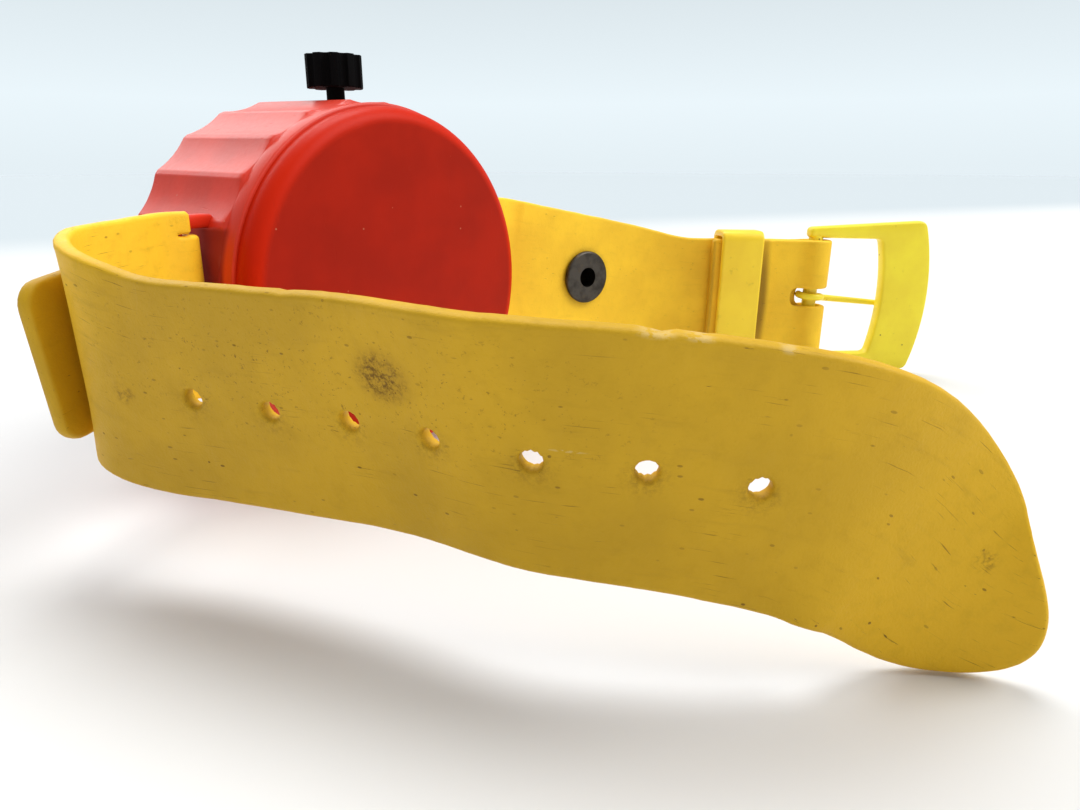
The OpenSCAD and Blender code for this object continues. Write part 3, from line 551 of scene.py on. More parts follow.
def sheet_shape(outline, openings, thick, rim, inner, place):
    """Points, faces and sheet places of a flat sheet with rounded rims.

    Loops run anticlockwise in (along, across). place takes (along, across, out) to the part's frame.
    """
    rims = [(outline, shifted(outline, rim))]
    rims += [(loop, shifted(loop, -rim)) for loop in openings]
    flat, edges, starts = [], [], []
    for _, loop in rims:
        starts.append(len(flat))
        edges += [(len(flat) + i, len(flat) + (i + 1) % len(loop)) for i in range(len(loop))]
        flat += loop
    flat += inner
    verts, _, triangles, origin, _, _ = delaunay_2d_cdt([v.to_2d() for v in flat], edges, [], 0, MERGE)
    triangles = [(a, b, c) for a, b, c in triangles
                 if abs((verts[b] - verts[a]).cross(verts[c] - verts[a])) > SLIVER]
    middles = [(verts[a] + verts[b] + verts[c]) / 3 for a, b, c in triangles]
    triangles = [t for t, m in zip(triangles, middles)
                 if inside(rims[0][1], m) and not any(inside(loop, m) for _, loop in rims[1:])]
    found = {}
    for i, sources in enumerate(origin):
        for source in sources:
            found[source] = i
    half = thick / 2
    points, spots, faces = [], [], []
    for side in (1, -1):
        for v in verts:
            points.append(place(v.x, v.y, half * side))
            spots.append((v.x, v.y, side))
    count = len(verts)
    faces += [tuple(t) for t in triangles] + [tuple(count + i for i in reversed(t)) for t in triangles]
    for (edge, loop), start in zip(rims, starts):
        n = len(loop)
        rings = [[found[start + i] for i in range(n)]]
        for row in range(1, RIM_ROWS):
            angle = math.pi / 2 - math.pi * row / RIM_ROWS
            out = math.cos(angle) ** RIM_POWER
            high = 0.0
            if row * 2 != RIM_ROWS:
                high = math.copysign(abs(math.sin(angle)) ** RIM_POWER, math.sin(angle))
            ring = []
            for i in range(n):
                p = loop[i] + (edge[i] - loop[i]) * out
                ring.append(len(points))
                points.append(place(p.x, p.y, half * high))
                spots.append((p.x, p.y, high))
            rings.append(ring)
        rings.append([count + found[start + i] for i in range(n)])
        for a, b in zip(rings, rings[1:]):
            faces += [(a[i], b[i], b[(i + 1) % n], a[(i + 1) % n]) for i in range(n)]
    return points, faces, spots


def tube_shape(path, radii, sides, first):
    """A round rod along points, with a radius at each; its ends are capped.

    The rings start square to the direction first.
    """
    points, faces = [], []
    across = None
    for i, p in enumerate(path):
        ahead = (path[min(i + 1, len(path) - 1)] - path[max(i - 1, 0)]).normalized()
        if across is None:
            across = first.cross(ahead).normalized()
        across = (across - ahead * across.dot(ahead)).normalized()
        other = ahead.cross(across)
        for k in range(sides):
            a = 2 * math.pi * k / sides
            points.append(p + (across * math.cos(a) + other * math.sin(a)) * radii[i])
    for i in range(len(path) - 1):
        for k in range(sides):
            a, b = i * sides + k, i * sides + (k + 1) % sides
            faces.append((a, b, b + sides, a + sides))
    faces += [tuple(range(sides)), tuple(reversed(range((len(path) - 1) * sides, len(path) * sides)))]
    return points, faces


def ring_faces(rings, count):
    """Faces of a closed chain of closed rings, each with a count of points."""
    faces = []
    for i in range(rings):
        a, b = i * count, (i + 1) % rings * count
        faces += [(a + k, a + (k + 1) % count, b + (k + 1) % count, b + k) for k in range(count)]
    return faces


def join(points, faces, more_points, more_faces):
    """Adds a second shape's points and faces to those of the first."""
    faces += [tuple(i + len(points) for i in face) for face in more_faces]
    points += more_points


# ---------------------------------------------------------------- where the straps run, in millimetres

BAR = Vector((21.9, 8.0, 0.0))
FOLD_R, FOLD_TURN, FOLD_RUN, SHOULDER = 1.85, 34.0, 2.7, 0.175
BUCKLE_FOLD_R = 1.95
FLAT = [(0, 0), (1, 0)]
LONG_SLOPES = [(0, 0), (0.025, 0), (0.055, -2.8), (0.15, -2.8), (0.22, -20.5), (0.3, -0.8), (0.45, 1.1),
               (0.66, -5.2), (0.78, -13.2), (0.9, -50.9), (1, -3.6)]
LONG_LEANS = [(0, 0), (0.15, 0), (0.3, 10.5), (0.55, 15.3), (0.8, 9.2), (1, -4.6)]
LONG_FLAP_SLOPES = [(0, 0), (0.025, 0), (0.055, -7.5), (1, -7.5)]
SHORT_SLOPES = [(0, 0), (0.03, 0), (0.1, -11), (0.44, -11), (0.6, -16), (0.71, -1), (1, -1)]
LONG_SWING, LONG_HEADING = -28.7, -114.5
LONG_BACK, LONG_BEND_R, LONG_FRONT, TIP, LONG_FLAP = 7.9, 6, 47.6, 25.0, 13.6
LONG_WAVES = ((0.28, 7.4), (0.15, 1.6), (0.15, 12.8), (0.2, -31.3), (0.22, -6.7))
TIP_WAVES = ((0.45, -19.5), (0.3, 20.8), (0.17, 25.6), (0.08, 1.9))
SHORT_SWING, SHORT_HEADING = -15.0, -46.0
SHORT_STRAIGHT, SHORT_BEND, SHORT_FLAP, SHORT_RIVET = 17, 15, 21.5, 12.9
BUCKLE_TURN, BUCKLE_FLAP = 180 + 2 * FOLD_TURN, 13.4
WALK_STEP, WALK_TURN = 0.22, 6
# The strap's square shoulders beside the tab, and the slit between.
WING, WING_CUT, SLIT, TAB_EDGE = 1.1, 0.28, 0.16, 6.83
SHOULDER_AT = FOLD_R * math.pi / 2 + SHOULDER / 2
# Rows of points: distances at which the lug's fold starts and ends, and gaps.
FLAP_ROUND, FLAP_LAST, FOLD_START, FOLD_END = 2.0, -9, -8.5, 8.0
ROW, LONG_ROW, FOLD_ROW, WING_ROW, END_GAP, POINT_GAP = 0.8, 0.7, 0.35, 0.4, 1.2, 1.15
TIP_ROWS = 40
POINT_MARGIN = 0.7
EDGE_WANDER = 0.06
RIVET_PLAY = 0.85
# Nicks in the long half's upper edge: distance, reach and depth.
NICKS = ((63.7, 0.9, 0.1), (64.1, 0.35, 0.16), (65.9, 0.8, 0.1), (70.2, 0.5, 0.1), (41.0, 0.6, 0.08))
# Marks on the long half: (distance, across), reach and weight.
LONG_STAINS = (((48.1, 4.0), (2.8, 2.3), 0.95), ((24.2, -0.6), (1.2, 1.2), 0.7), ((88.8, 2.8), (1.6, 1.2), 0.5))
LONG_BANDS = (((48.1, 4.0), (3.4, 2.8), 0.22),)
LONG_SCUFFS = (((63.8, 8.9), (1.3, 0.4), 0.3), ((65.9, 8.9), (1.0, 0.35), 0.3), ((70.3, 8.9), (0.6, 0.35), 0.3),
               ((59.9, 1.0), (1.6, 0.12), 0.3))
HOLES = 7
SLOT, SLOT_ROUND, SLOT_CUT, SLOT_GAP = 1.4, 1.2, 1.4, 0.4


def ahead_of(angle):
    return Vector((math.cos(math.radians(angle)), math.sin(math.radians(angle)), 0))


def arc(radius, angle):
    return radius * math.radians(abs(angle))


def along_table(table, share):
    """The value at a share of the way, from rows of (share, value)."""
    keys = [row[0] for row in table]
    i = min(max(bisect_right(keys, share), 1), len(table) - 1)
    (a, low), (b, high) = table[i - 1], table[i]
    return low + (high - low) * min(max((share - a) / (b - a), 0), 1)


def run_length(runs):
    return sum(run[0] for run in runs)


def walk(start, heading, runs, total, slopes, leans):
    """Stops (distance, place, along, up) on a way made of (length, turn) runs."""
    place, angle, gone = Vector(start), heading, 0.0
    stops = []

    def stop():
        slope = math.radians(along_table(slopes, gone / total))
        lean = math.radians(along_table(leans, gone / total))
        across = ahead_of(angle + 90)
        along = ahead_of(angle) * math.cos(slope) + UP * math.sin(slope)
        stops.append((gone, place.copy(), along, along.cross(across) * math.cos(lean) + across * math.sin(lean)))

    stop()
    for reach, turn in runs:
        count = max(1, math.ceil(max(reach / WALK_STEP, abs(turn) / WALK_TURN)))
        part, bend = reach / count, turn / count
        for _ in range(count):
            slope = math.radians(along_table(slopes, (gone + part / 2) / total))
            place = place + (ahead_of(angle + bend / 2) * math.cos(slope) + UP * math.sin(slope)) * part
            gone += part
            angle += bend
            stop()
    return stops


def lug_fold(swing):
    return [(arc(FOLD_R, 90), 90), (SHOULDER, 0), (arc(FOLD_R, swing + FOLD_TURN), swing + FOLD_TURN),
            (FOLD_RUN, -FOLD_TURN)]


def flap_fold(swing, flap):
    return [(arc(FOLD_R, 90 - swing + FOLD_TURN), swing - FOLD_TURN - 90), (FOLD_RUN, FOLD_TURN), (flap, 0)]


def folded_back(stops):
    return [(-s, p, -along, up) for s, p, along, up in reversed(stops)]


class StrapWay:
    """The middle of a strap, from the end of its folded flap to its far end."""

    def __init__(self, stops, mirrored=False):
        self.stops = stops
        self.keys = [stop[0] for stop in stops]
        self.mirrored = mirrored

    def smoothed(self, start, end, reach):
        """Evens out the way between two distances, over a reach each side."""
        even = []
        for s, p, along, up in self.stops:
            near = min(max(s - start, 0), max(end - s, 0), reach)
            if near > 0:
                low, high = bisect_right(self.keys, s - near), bisect_right(self.keys, s + near)
                rows = self.stops[low:high]
                total = len(rows)
                p = sum((row[1] for row in rows), Vector()) / total
                along = sum((row[2] for row in rows), Vector()).normalized()
                up = sum((row[3] for row in rows), Vector())
                up = (up - along * up.dot(along)).normalized()
            even.append((s, p, along, up))
        self.stops = even

    def at(self, s):
        i = min(max(bisect_right(self.keys, s), 1), len(self.stops) - 1)
        a, b = self.stops[i - 1], self.stops[i]
        t = (s - a[0]) / (b[0] - a[0])
        return tuple(x.lerp(y, t) for x, y in zip(a[1:], b[1:]))

    def place(self, s, w, h):
        """A point s along, w across and h out of the strap, in the part's frame in metres."""
        if s < SHOULDER_AT and abs(w) > TAB_EDGE:
            p, along, up = self.at(SHOULDER_AT)
            p = p + along * (s - SHOULDER_AT)
        else:
            p, along, up = self.at(s)
        up = up.normalized()
        q = p + up * w + up.cross(along).normalized() * h
        return Vector((-q.x if self.mirrored else q.x, q.y, q.z)) * MM

    def meets(self, s, first, last):
        """Where the line through the strap at s crosses another layer of it: (along, across)."""
        p, along, up = self.at(s)
        out = up.cross(along)
        rows = [row for row in self.stops if first <= row[0] <= last]
        best = min(rows, key=lambda row: abs((row[1] - p).dot(along)))
        return Vector((best[0], (p + out * (best[1] - p).dot(out) - best[1]).dot(best[3])))


def long_way():
    """The long half's way, its length and the place of its rivet."""
    bend = LONG_HEADING - LONG_SWING
    fold = lug_fold(LONG_SWING)
    runs = fold + [(LONG_BACK, 0), (arc(LONG_BEND_R, bend), bend)]
    runs += [(share * LONG_FRONT, turn) for share, turn in LONG_WAVES]
    runs += [(share * TIP, turn) for share, turn in TIP_WAVES]
    total = run_length(runs)
    start = BAR - Vector((FOLD_R, 0, 0))
    main = walk(start, -90, runs, total, LONG_SLOPES, LONG_LEANS)
    flap = walk(start, 90, flap_fold(LONG_SWING, LONG_FLAP), total, LONG_FLAP_SLOPES, FLAT)
    way = StrapWay(folded_back(flap)[:-1] + main, True)
    way.smoothed(run_length(runs[:len(fold) + 1]), total, 2.2)
    return way, total, run_length(fold) + LONG_BACK / 2


def short_way():
    """The short half's way, its length, the place of its rivet and the length of its buckle fold."""
    fold = lug_fold(SHORT_SWING)
    runs = fold + [(SHORT_STRAIGHT, 0), (SHORT_BEND, SHORT_HEADING - SHORT_SWING), (SHORT_STRAIGHT, 0)]
    total = run_length(runs)
    start = BAR - Vector((FOLD_R, 0, 0))
    main = walk(start, -90, runs, total, SHORT_SLOPES, FLAT)
    flap = walk(start, 90, flap_fold(SHORT_SWING, SHORT_FLAP), total, SHORT_SLOPES, FLAT)
    _, p, along, up = main[-1]
    side = up.cross(along)
    round_bar = [(FOLD_RUN, FOLD_TURN), (arc(BUCKLE_FOLD_R, BUCKLE_TURN), -BUCKLE_TURN), (FOLD_RUN, FOLD_TURN),
                 (BUCKLE_FLAP, 0)]
    turned = [(total + s, p + along * q.x + side * q.y, along * a.x + side * a.y, up)
              for s, q, a, _ in walk((0, 0, 0), 0, round_bar, 1, FLAT, FLAT)]
    way = StrapWay(folded_back(flap)[:-1] + main + turned[1:])
    way.smoothed(run_length(fold) + 2, total - 1, 2.0)
    return way, total, run_length(fold) + SHORT_RIVET, run_length(round_bar)


def buckle_frame_matrix(way, total, back=0.0):
    """Puts (along, out, across) at the buckle's bar in place, or a distance back along the strap."""
    p, along, up = way.at(total)
    side = up.cross(along)
    reach = FOLD_RUN * math.cos(math.radians(FOLD_TURN / 2)) + BUCKLE_FOLD_R * math.sin(math.radians(FOLD_TURN))
    shift = BUCKLE_FOLD_R * math.cos(math.radians(FOLD_TURN)) - FOLD_RUN * math.sin(math.radians(FOLD_TURN / 2))
    spot = p + along * (reach - back) - side * shift
    return lambda x, y, z: (spot + along * x + side * y + up * z) * MM, 2 * shift


def flap_halves(end, tab, round_end):
    """(distance, half width) pairs at the rounded end of a folded flap."""
    rows = []
    for k in range(7):
        a = math.pi / 2 * k / 6
        rows.append((end + round_end * (1 - math.sin(a)), tab - round_end * (1 - math.cos(a))))
    return rows[::-1]


def wing_halves(tab, width):
    """Pairs from a slit beside the tab, out round the strap's square shoulder."""
    slit, tip = tab + SLIT, SHOULDER_AT - WING
    rows = [(SHOULDER_AT + 0.7 * SLIT, tab + 0.2 * SLIT), (SHOULDER_AT + 0.9 * SLIT, tab + 0.5 * SLIT),
            (SHOULDER_AT + 0.7 * SLIT, slit - 0.2 * SLIT)]
    rows += [(s, slit) for s in steps(SHOULDER_AT, tip + WING_CUT, WING_ROW)]
    rows += [(tip, slit + WING_CUT), (tip, (slit + width) / 2), (tip, width - WING_CUT)]
    rows += [(s, width) for s in steps(tip + WING_CUT, SHOULDER_AT, WING_ROW)]
    return rows


def lug_rows(flap_end, tab, width):
    """Pairs of the folded flap and its tab in the lug, and the first pairs of the full width."""
    tab_rows = flap_halves(flap_end, tab, FLAP_ROUND)
    tab_rows += [(s, tab) for s in steps(flap_end + FLAP_ROUND, FOLD_START, ROW)[1:]]
    tab_rows += [(s, tab) for s in steps(FOLD_START, SHOULDER_AT, FOLD_ROW)[1:]]
    return tab_rows, [(s, width) for s in steps(SHOULDER_AT + WING_ROW, FOLD_END, WING_ROW)]


def strap_outline(tab_rows, full_rows, tab, width):
    """An anticlockwise outline from (distance, half width) pairs, with straight ends filled in."""
    rows = tab_rows + wing_halves(tab, width) + full_rows

    def across(row):
        s, h = row
        return [Vector((s, w)) for w in steps(-h, h, END_GAP)[1:-1]]

    low = [Vector((s, -h)) for s, h in rows]
    high = [Vector((s, h)) for s, h in reversed(rows) if h > 0]
    return uneven(low + across(rows[-1]) + high + across(rows[0])[::-1], EDGE_WANDER)


def rivet_holes(way, rivet, bore):
    """The rivet's holes through the strap and through the flap behind it."""
    return [circle(at, bore / MM + RIVET_PLAY, 20)
            for at in ((rivet, 0), way.meets(rivet, way.keys[0], FLAP_LAST))]


def uneven(loop, size):
    """Hand-cut edges: the loop wanders a little from side to side."""
    return [p + Vector((0, size * noise.noise(Vector((p.x * 0.35, p.y * 0.2, 7.3))) +
                        size * 0.5 * noise.noise(Vector((p.x * 1.7, p.y, 2.1))))) for p in loop]


def sheet_points(rows, gap, openings, margin):
    """Points inside a strap's outline, clear of its edges and openings."""
    inner = []
    for s, h in rows:
        wide = h - margin
        if wide <= 0:
            continue
        for w in steps(-wide, wide, gap):
            p = Vector((s, w))
            if all(min((p - q).length for q in loop) > gap * 0.55 and not inside(loop, p) for loop in openings):
                inner.append(p)
    return inner


def strap_sheet(way, size, rows, outline, openings, fold=(0, 0)):
    """The sheet of a strap, with points in every second row, and in every row of its folds."""
    folds = ((-FOLD_END, FOLD_END), fold)
    rows = [row for i, row in enumerate(rows) if i % 2 == 0 or any(low < row[0] < high for low, high in folds)]
    rim = size.rim / MM
    inner = sheet_points(rows, POINT_GAP, openings, rim + POINT_MARGIN)
    return sheet_shape(outline, openings, size.thick / MM, rim, inner, way.place)


# ---------------------------------------------------------------- operators

class WATCH_OT_long_strap(bpy.types.Operator):
    """Make the strap half with the sizing holes and the rounded tip"""
    bl_idname = "watch.long_strap"
    bl_label = "Long strap"

    def execute(self, context):
        settings = context.scene.toy_watch
        size = settings.strap
        width, tab = size.width / 2 / MM, size.tab / 2 / MM
        way, total, rivet = long_way()
        tab_rows, full_rows = lug_rows(way.keys[0], tab, width)
        full_rows += [(s, width) for s in steps(FOLD_END, total - TIP, LONG_ROW)[1:]]
        for k in range(1, TIP_ROWS):
            share = 1 - (1 - k / TIP_ROWS) ** 2
            full_rows.append((total - TIP + TIP * share, width * (1 - share ** 2.5) ** 0.47))
        full_rows.append((total, 0.0))
        outline = strap_outline(tab_rows, full_rows, tab, width)
        for s, reach, depth in NICKS:
            for p in outline:
                if p.y > width * 0.7 and abs(p.x - s) < reach:
                    p.y -= depth * math.cos(math.pi / 2 * (p.x - s) / reach) ** 2
        openings, stains = [], list(LONG_STAINS)
        for i in range(HOLES):
            centre = (total - size.inset / MM - i * size.pitch / MM, 0.12 * math.sin(i * 2.3))
            openings.append([c + Vector((0, 0.05 * math.sin(3 * k + i)))
                             for k, c in enumerate(circle(centre, size.hole / MM / 2, 24))])
            middle = sum(openings[-1], Vector((0, 0))) / len(openings[-1])
            stains.append(((middle.x, middle.y - 0.4), (2.2, 1.9), 0.35))
        openings += rivet_holes(way, rivet, settings.fitting.bore)
        points, faces, spots = strap_sheet(way, size, tab_rows + full_rows, outline, openings)
        finish = worn_vinyl("long_strap_vinyl", settings.colour, stains, LONG_BANDS, LONG_SCUFFS, True)
        new_piece("long_strap_ribbon", points, faces, finish, "long_strap", "long_strap", spots)
        return {"FINISHED"}


class WATCH_OT_short_strap(bpy.types.Operator):
    """Make the strap half that is folded round the buckle's bar"""
    bl_idname = "watch.short_strap"
    bl_label = "Short strap"

    def execute(self, context):
        settings = context.scene.toy_watch
        size = settings.strap
        width, tab = size.width / 2 / MM, size.tab / 2 / MM
        way, total, rivet, fold = short_way()
        end = total + fold
        fold_start, fold_end = total - 1, end - BUCKLE_FLAP
        tab_rows, full_rows = lug_rows(way.keys[0], tab, width)
        full_rows += [(s, width) for s in steps(FOLD_END, fold_start, ROW)[1:]]
        full_rows += [(s, width) for s in steps(fold_start, fold_end, FOLD_ROW)[1:]]
        full_rows += [(s, width) for s in steps(fold_end, end - 0.6, ROW)[1:]]
        full_rows += [(end - 0.25, width - 0.1), (end - 0.06, width - 0.3), (end, width - 0.65)]
        outline = strap_outline(tab_rows, full_rows, tab, width)
        # The tongue's slot lies round the fold's middle, and is cut shorter on the hidden side.
        middle = total + FOLD_RUN + arc(BUCKLE_FOLD_R, BUCKLE_TURN) / 2
        reach = middle - total - (FOLD_RUN - 0.8 * FOLD_RUN) + 0.5
        slot = rounded_box(middle - reach + SLOT_CUT, middle + reach, SLOT, SLOT_ROUND)
        openings = rivet_holes(way, rivet, settings.fitting.bore) + [divided(slot, SLOT_GAP)]
        points, faces, spots = strap_sheet(
            way, size, tab_rows + full_rows, outline, openings, (fold_start, fold_end))
        stains = [((rivet, 0), (5.6, 5.4), 0.4)]
        # The first band is painted shadow beside the keeper; the second darkens round the rivet and the third along the
        # strap's end.
        bands = [((end - 8.4, 0), (1.5, 14), 0.75), ((rivet, 0), (5.2, 5.2), 0.45), ((end - 0.2, 0), (0.5, 14), 0.4)]
        finish = worn_vinyl("short_strap_vinyl", settings.colour, stains, bands, [], False)
        new_piece("short_strap_ribbon", points, faces, finish, "short_strap", "short_strap", spots)
        return {"FINISHED"}


class WATCH_OT_rivets(bpy.types.Operator):
    """Finish the two hollow rivets"""
    bl_idname = "watch.rivets"
    bl_label = "Rivets"

    def execute(self, context):
        steel = rivet_steel("rivet_plated_steel", context.scene.toy_watch.colour)
        for node in ("long_strap_rivet", "short_strap_rivet"):
            dress(node, steel)
        return {"FINISHED"}


KEEPER_BACK, KEEPER_PLAY, KEEPER_ROUND, KEEPER_RIM = 12.6, 0.35, 1.1, 0.42
LOOP_GAP = 0.9


class WATCH_OT_keeper(bpy.types.Operator):
    """Make the keeper loop round the folded strap"""
    bl_idname = "watch.keeper"
    bl_label = "Keeper"

    def execute(self, context):
        settings = context.scene.toy_watch
        size = settings.fitting
        wall, wide = size.keeper_wall / MM, size.keeper / MM / 2
        way, total, _, _ = short_way()
        place, shift = buckle_frame_matrix(way, total, KEEPER_BACK)
        play = KEEPER_PLAY + wall / 2
        deep = (shift + settings.strap.thick / MM) / 2 + play
        high = settings.strap.width / MM / 2 + play
        loop = divided(rounded_box(-deep, deep, high, KEEPER_ROUND, 8), LOOP_GAP)
        section = rounded_box(-wide, wide, wall / 2, KEEPER_RIM, 5)
        points = []
        for p, q in zip(loop, shifted(loop, -1.0)):
            for x, r in section:
                at = p + (q - p) * r
                points.append(place(x, at.x, at.y))
        finish = bright_yellow("keeper_bright_yellow", settings.colour.keeper, settings.colour.grime)
        new_piece("keeper_loop", points, ring_faces(len(loop), len(section)), finish, "keeper", "keeper")
        return {"FINISHED"}


BUCKLE_RAIL, BUCKLE_BACK, BUCKLE_THICK, BUCKLE_RIM, BUCKLE_BAR_R = 1.7, 1.35, 2.2, 0.44, 1.1
BUCKLE_PLAY, BUCKLE_BOW, FAR_RAIL = 0.3, 3.2, 3.0
EYE_ROUND, FAR_ROUND, OPEN_ROUND, BOW_GAP = 0.82, 2.0, 1.2, 1.2
TONGUE_PLAY, TONGUE_DROP, TONGUE_STEPS = 0.12, -5, 14
CURL_FROM, CURL_TURN, CURL_STEPS = -195, 285, 28


class WATCH_OT_buckle(bpy.types.Operator):
    """Make the buckle frame with its bar, and the tongue on it"""
    bl_idname = "watch.buckle"
    bl_label = "Buckle and tongue"

    def execute(self, context):
        settings = context.scene.toy_watch
        size = settings.fitting
        way, total, _, _ = short_way()
        place, _ = buckle_frame_matrix(way, total)
        long, half, bar = size.buckle / MM, size.buckle_width / MM / 2, size.far_bar / MM
        near_in = settings.strap.width / MM / 2 + BUCKLE_PLAY
        near = near_in + BUCKLE_RAIL
        open_end, far_in = long - bar, half - FAR_RAIL
        bow = half * BUCKLE_BOW

        def bowed(x, z):
            return x - (bow - math.sqrt(bow * bow - z * z))

        outer = [(-BUCKLE_BACK, -near, EYE_ROUND), (bowed(long, half), -half, FAR_ROUND)]
        outer += [(bowed(long, z), z, 0) for z in steps(-half + 2.2, half - 2.2, BOW_GAP)]
        outer += [(bowed(long, half), half, FAR_ROUND), (-BUCKLE_BACK, near, EYE_ROUND),
                  (-BUCKLE_BACK, near_in, EYE_ROUND), (0, near_in, 0)]
        outer += [(bowed(open_end, far_in), far_in, OPEN_ROUND)]
        outer += [(bowed(open_end, z), z, 0) for z in reversed(steps(-far_in + 1.4, far_in - 1.4, BOW_GAP))]
        outer += [(bowed(open_end, far_in), -far_in, OPEN_ROUND), (0, -near_in, 0),
                  (-BUCKLE_BACK, -near_in, EYE_ROUND)]
        loop = divided(filleted(outer), LOOP_GAP)
        core = shifted(loop, 0.75)
        inner = [Vector((x, z)) for x in steps(open_end, long, 1.0) for z in steps(-half, half, 1.0)]
        inner = [p for p in inner if inside(core, p) and min((p - q).length for q in core) > 0.5]
        points, faces, _ = sheet_shape(loop, [], BUCKLE_THICK, BUCKLE_RIM, inner, lambda x, z, y: place(x, y, z))
        bar_end = near_in + BUCKLE_RAIL / 2
        bar_line = [place(0, 0, z) for z in steps(-bar_end, bar_end, 1.5)]
        join(points, faces, *tube_shape(bar_line, [BUCKLE_BAR_R * MM] * len(bar_line), 24, Vector((1, 0, 0))))
        finish = bright_yellow("buckle_bright_yellow", settings.colour.bright, settings.colour.grime)
        new_piece("buckle_loop", points, faces, finish, "buckle", "buckle_frame")

        thin = size.tongue / MM / 2
        turn = BUCKLE_BAR_R + TONGUE_PLAY + thin
        drop = math.sin(math.radians(TONGUE_DROP))
        line = []
        for k in range(CURL_STEPS + 1):
            a = math.radians(CURL_FROM + k * CURL_TURN / CURL_STEPS)
            line.append(Vector((turn * math.cos(a), turn * math.sin(a), -0.02 * (k - CURL_STEPS / 2))))
        end = long - bar * 0.35
        for k in range(1, TONGUE_STEPS + 1):
            t = k / TONGUE_STEPS
            line.append(Vector((end * t, turn + 0.12 * math.sin(math.pi * t), -0.28 + end * t * drop)))
        radii = [thin * MM * (1 - 0.25 * max(0, (i - CURL_STEPS) / TONGUE_STEPS)) for i in range(len(line))]
        radii[-1] *= 0.45
        points, faces = tube_shape([place(*p) for p in line], radii, 14, UP)
        new_piece("tongue_pin", points, faces, finish, "tongue", "buckle_tongue")
        return {"FINISHED"}


# The drum's section: (height, radius, share of the flutes' depth).
DRUM_BAND = [(2.5, 19.25, 0), (2.53, 19.42, 0), (2.65, 19.5, 0), (4.3, 19.5, 0), (4.44, 19.52, 0),
             (4.5, 19.6, 0.3), (4.58, 19.82, 0.8), (4.7, 19.9, 1)]
DRUM_FRONT = [(21.2, 20.36, 1), (21.38, 20.24, 0.9), (21.47, 20.05, 0.5), (21.5, 19.8, 0.1), (21.5, 18.5, 0),
              (21.5, 16.4, 0), (21.46, 15.85, 0), (21.3, 15.65, 0), (21.0, 15.6, 0), (19.3, 15.6, 0),
              (19.3, 17.5, 0), (11, 17.5, 0), (2.5, 17.5, 0)]
FLUTES, FLUTE_DEPTH, FLUTE_EDGE = 24, 0.42, 0.445
FLUTE_SHARES = (-0.5, -0.47, -0.445, -0.42, -0.37, -0.27, -0.14, 0.0, 0.14, 0.27, 0.37, 0.42, 0.445, 0.47)
# The flat behind each lug bar: half height, half width and distance from the middle.
RECESS_HIGH, RECESS_WIDE, RECESS_AT = 3.4, 7.25, 19.0
EAR_IN, EAR_OUT, EAR_HALF, EAR_THICK, EAR_ROUND, EAR_RIM = 18.0, 22.85, 0.95, 1.3, 0.94, 0.25
EAR_LOWS = (-8.55, 7.25)
LUG_BAR_R, LUG_BAR_END = 1.0, 8.2


def drum_shape():
    """The case's drum: a plain band, shallow flutes between narrow ridges, and the ring round the window."""
    profile = DRUM_BAND + [(y, 19.9 + 0.5 * (y - 4.5) / 17, 1) for y in steps(5.4, 20.9, 1.2)] + DRUM_FRONT
    points = []
    for flute in range(FLUTES):
        for share in FLUTE_SHARES:
            turn = math.radians(360 / FLUTES * (flute + share))
            deep = FLUTE_DEPTH * (1 - min(1, abs(share) / FLUTE_EDGE) ** 2)
            for y, r, fluted in profile:
                x, z = (r - deep * fluted) * math.sin(turn), (r - deep * fluted) * math.cos(turn)
                if abs(y - BAR.y) < RECESS_HIGH and abs(z) < RECESS_WIDE and r > 18:
                    x = math.copysign(min(abs(x), RECESS_AT), x)
                points.append(Vector((x, y, z)) * MM)
    return points, ring_faces(FLUTES * len(FLUTE_SHARES), len(profile))


class WATCH_OT_case(bpy.types.Operator):
    """Finish the case body, its cover and the crown"""
    bl_idname = "watch.case"
    bl_label = "Case and crown"

    def execute(self, context):
        colour = context.scene.toy_watch.colour
        dress("back_cover", moulded_red("cover_red", colour.cover, 0.1, 19.0))
        points, faces = drum_shape()
        back, front = BAR.y - EAR_HALF, BAR.y + EAR_HALF
        ear_loop = filleted([(EAR_IN, back, 0), (EAR_OUT, back, EAR_ROUND), (EAR_OUT, front, EAR_ROUND),
                             (EAR_IN, front, 0)])
        for side in (1, -1):
            for low in EAR_LOWS:
                ear, ear_faces, _ = sheet_shape(
                    ear_loop, [], EAR_THICK, EAR_RIM, [],
                    lambda x, y, h: Vector((side * x, y, low + EAR_THICK / 2 + h)) * MM)
                join(points, faces, ear, ear_faces)
            line = [Vector((side * BAR.x, BAR.y, z)) * MM for z in steps(-LUG_BAR_END, LUG_BAR_END, 2)]
            join(points, faces, *tube_shape(line, [LUG_BAR_R * MM] * len(line), 24, Vector((1, 0, 0))))
        finish = moulded_red("case_red", colour.red, 0.5, recess=BAR.y)
        new_piece("case_drum", points, faces, finish, "case", "case_body")
        black = moulded_plain("crown_black", colour.black, 0.58, 0.02, 0.25, (0.012, 0.011, 0.01), 0.05)
        dress("crown", black)
        dress("stem", black)
        return {"FINISHED"}


DIAL_FACE, FIGURE_RING, FIGURE_SIZE, FIGURE_INK = 15.4, 11.2, 4.2, 0.04
MARK_RING, MARK_INK = 15.3, 0.09
# Length and half width of an hour's mark and of a minute's.
HOUR_MARK, MINUTE_MARK = (1.6, 0.32), (0.9, 0.14)
BOX_FACES = ((0, 1, 2, 3), (7, 6, 5, 4), (0, 4, 5, 1), (1, 5, 6, 2), (2, 6, 7, 3), (3, 7, 4, 0))


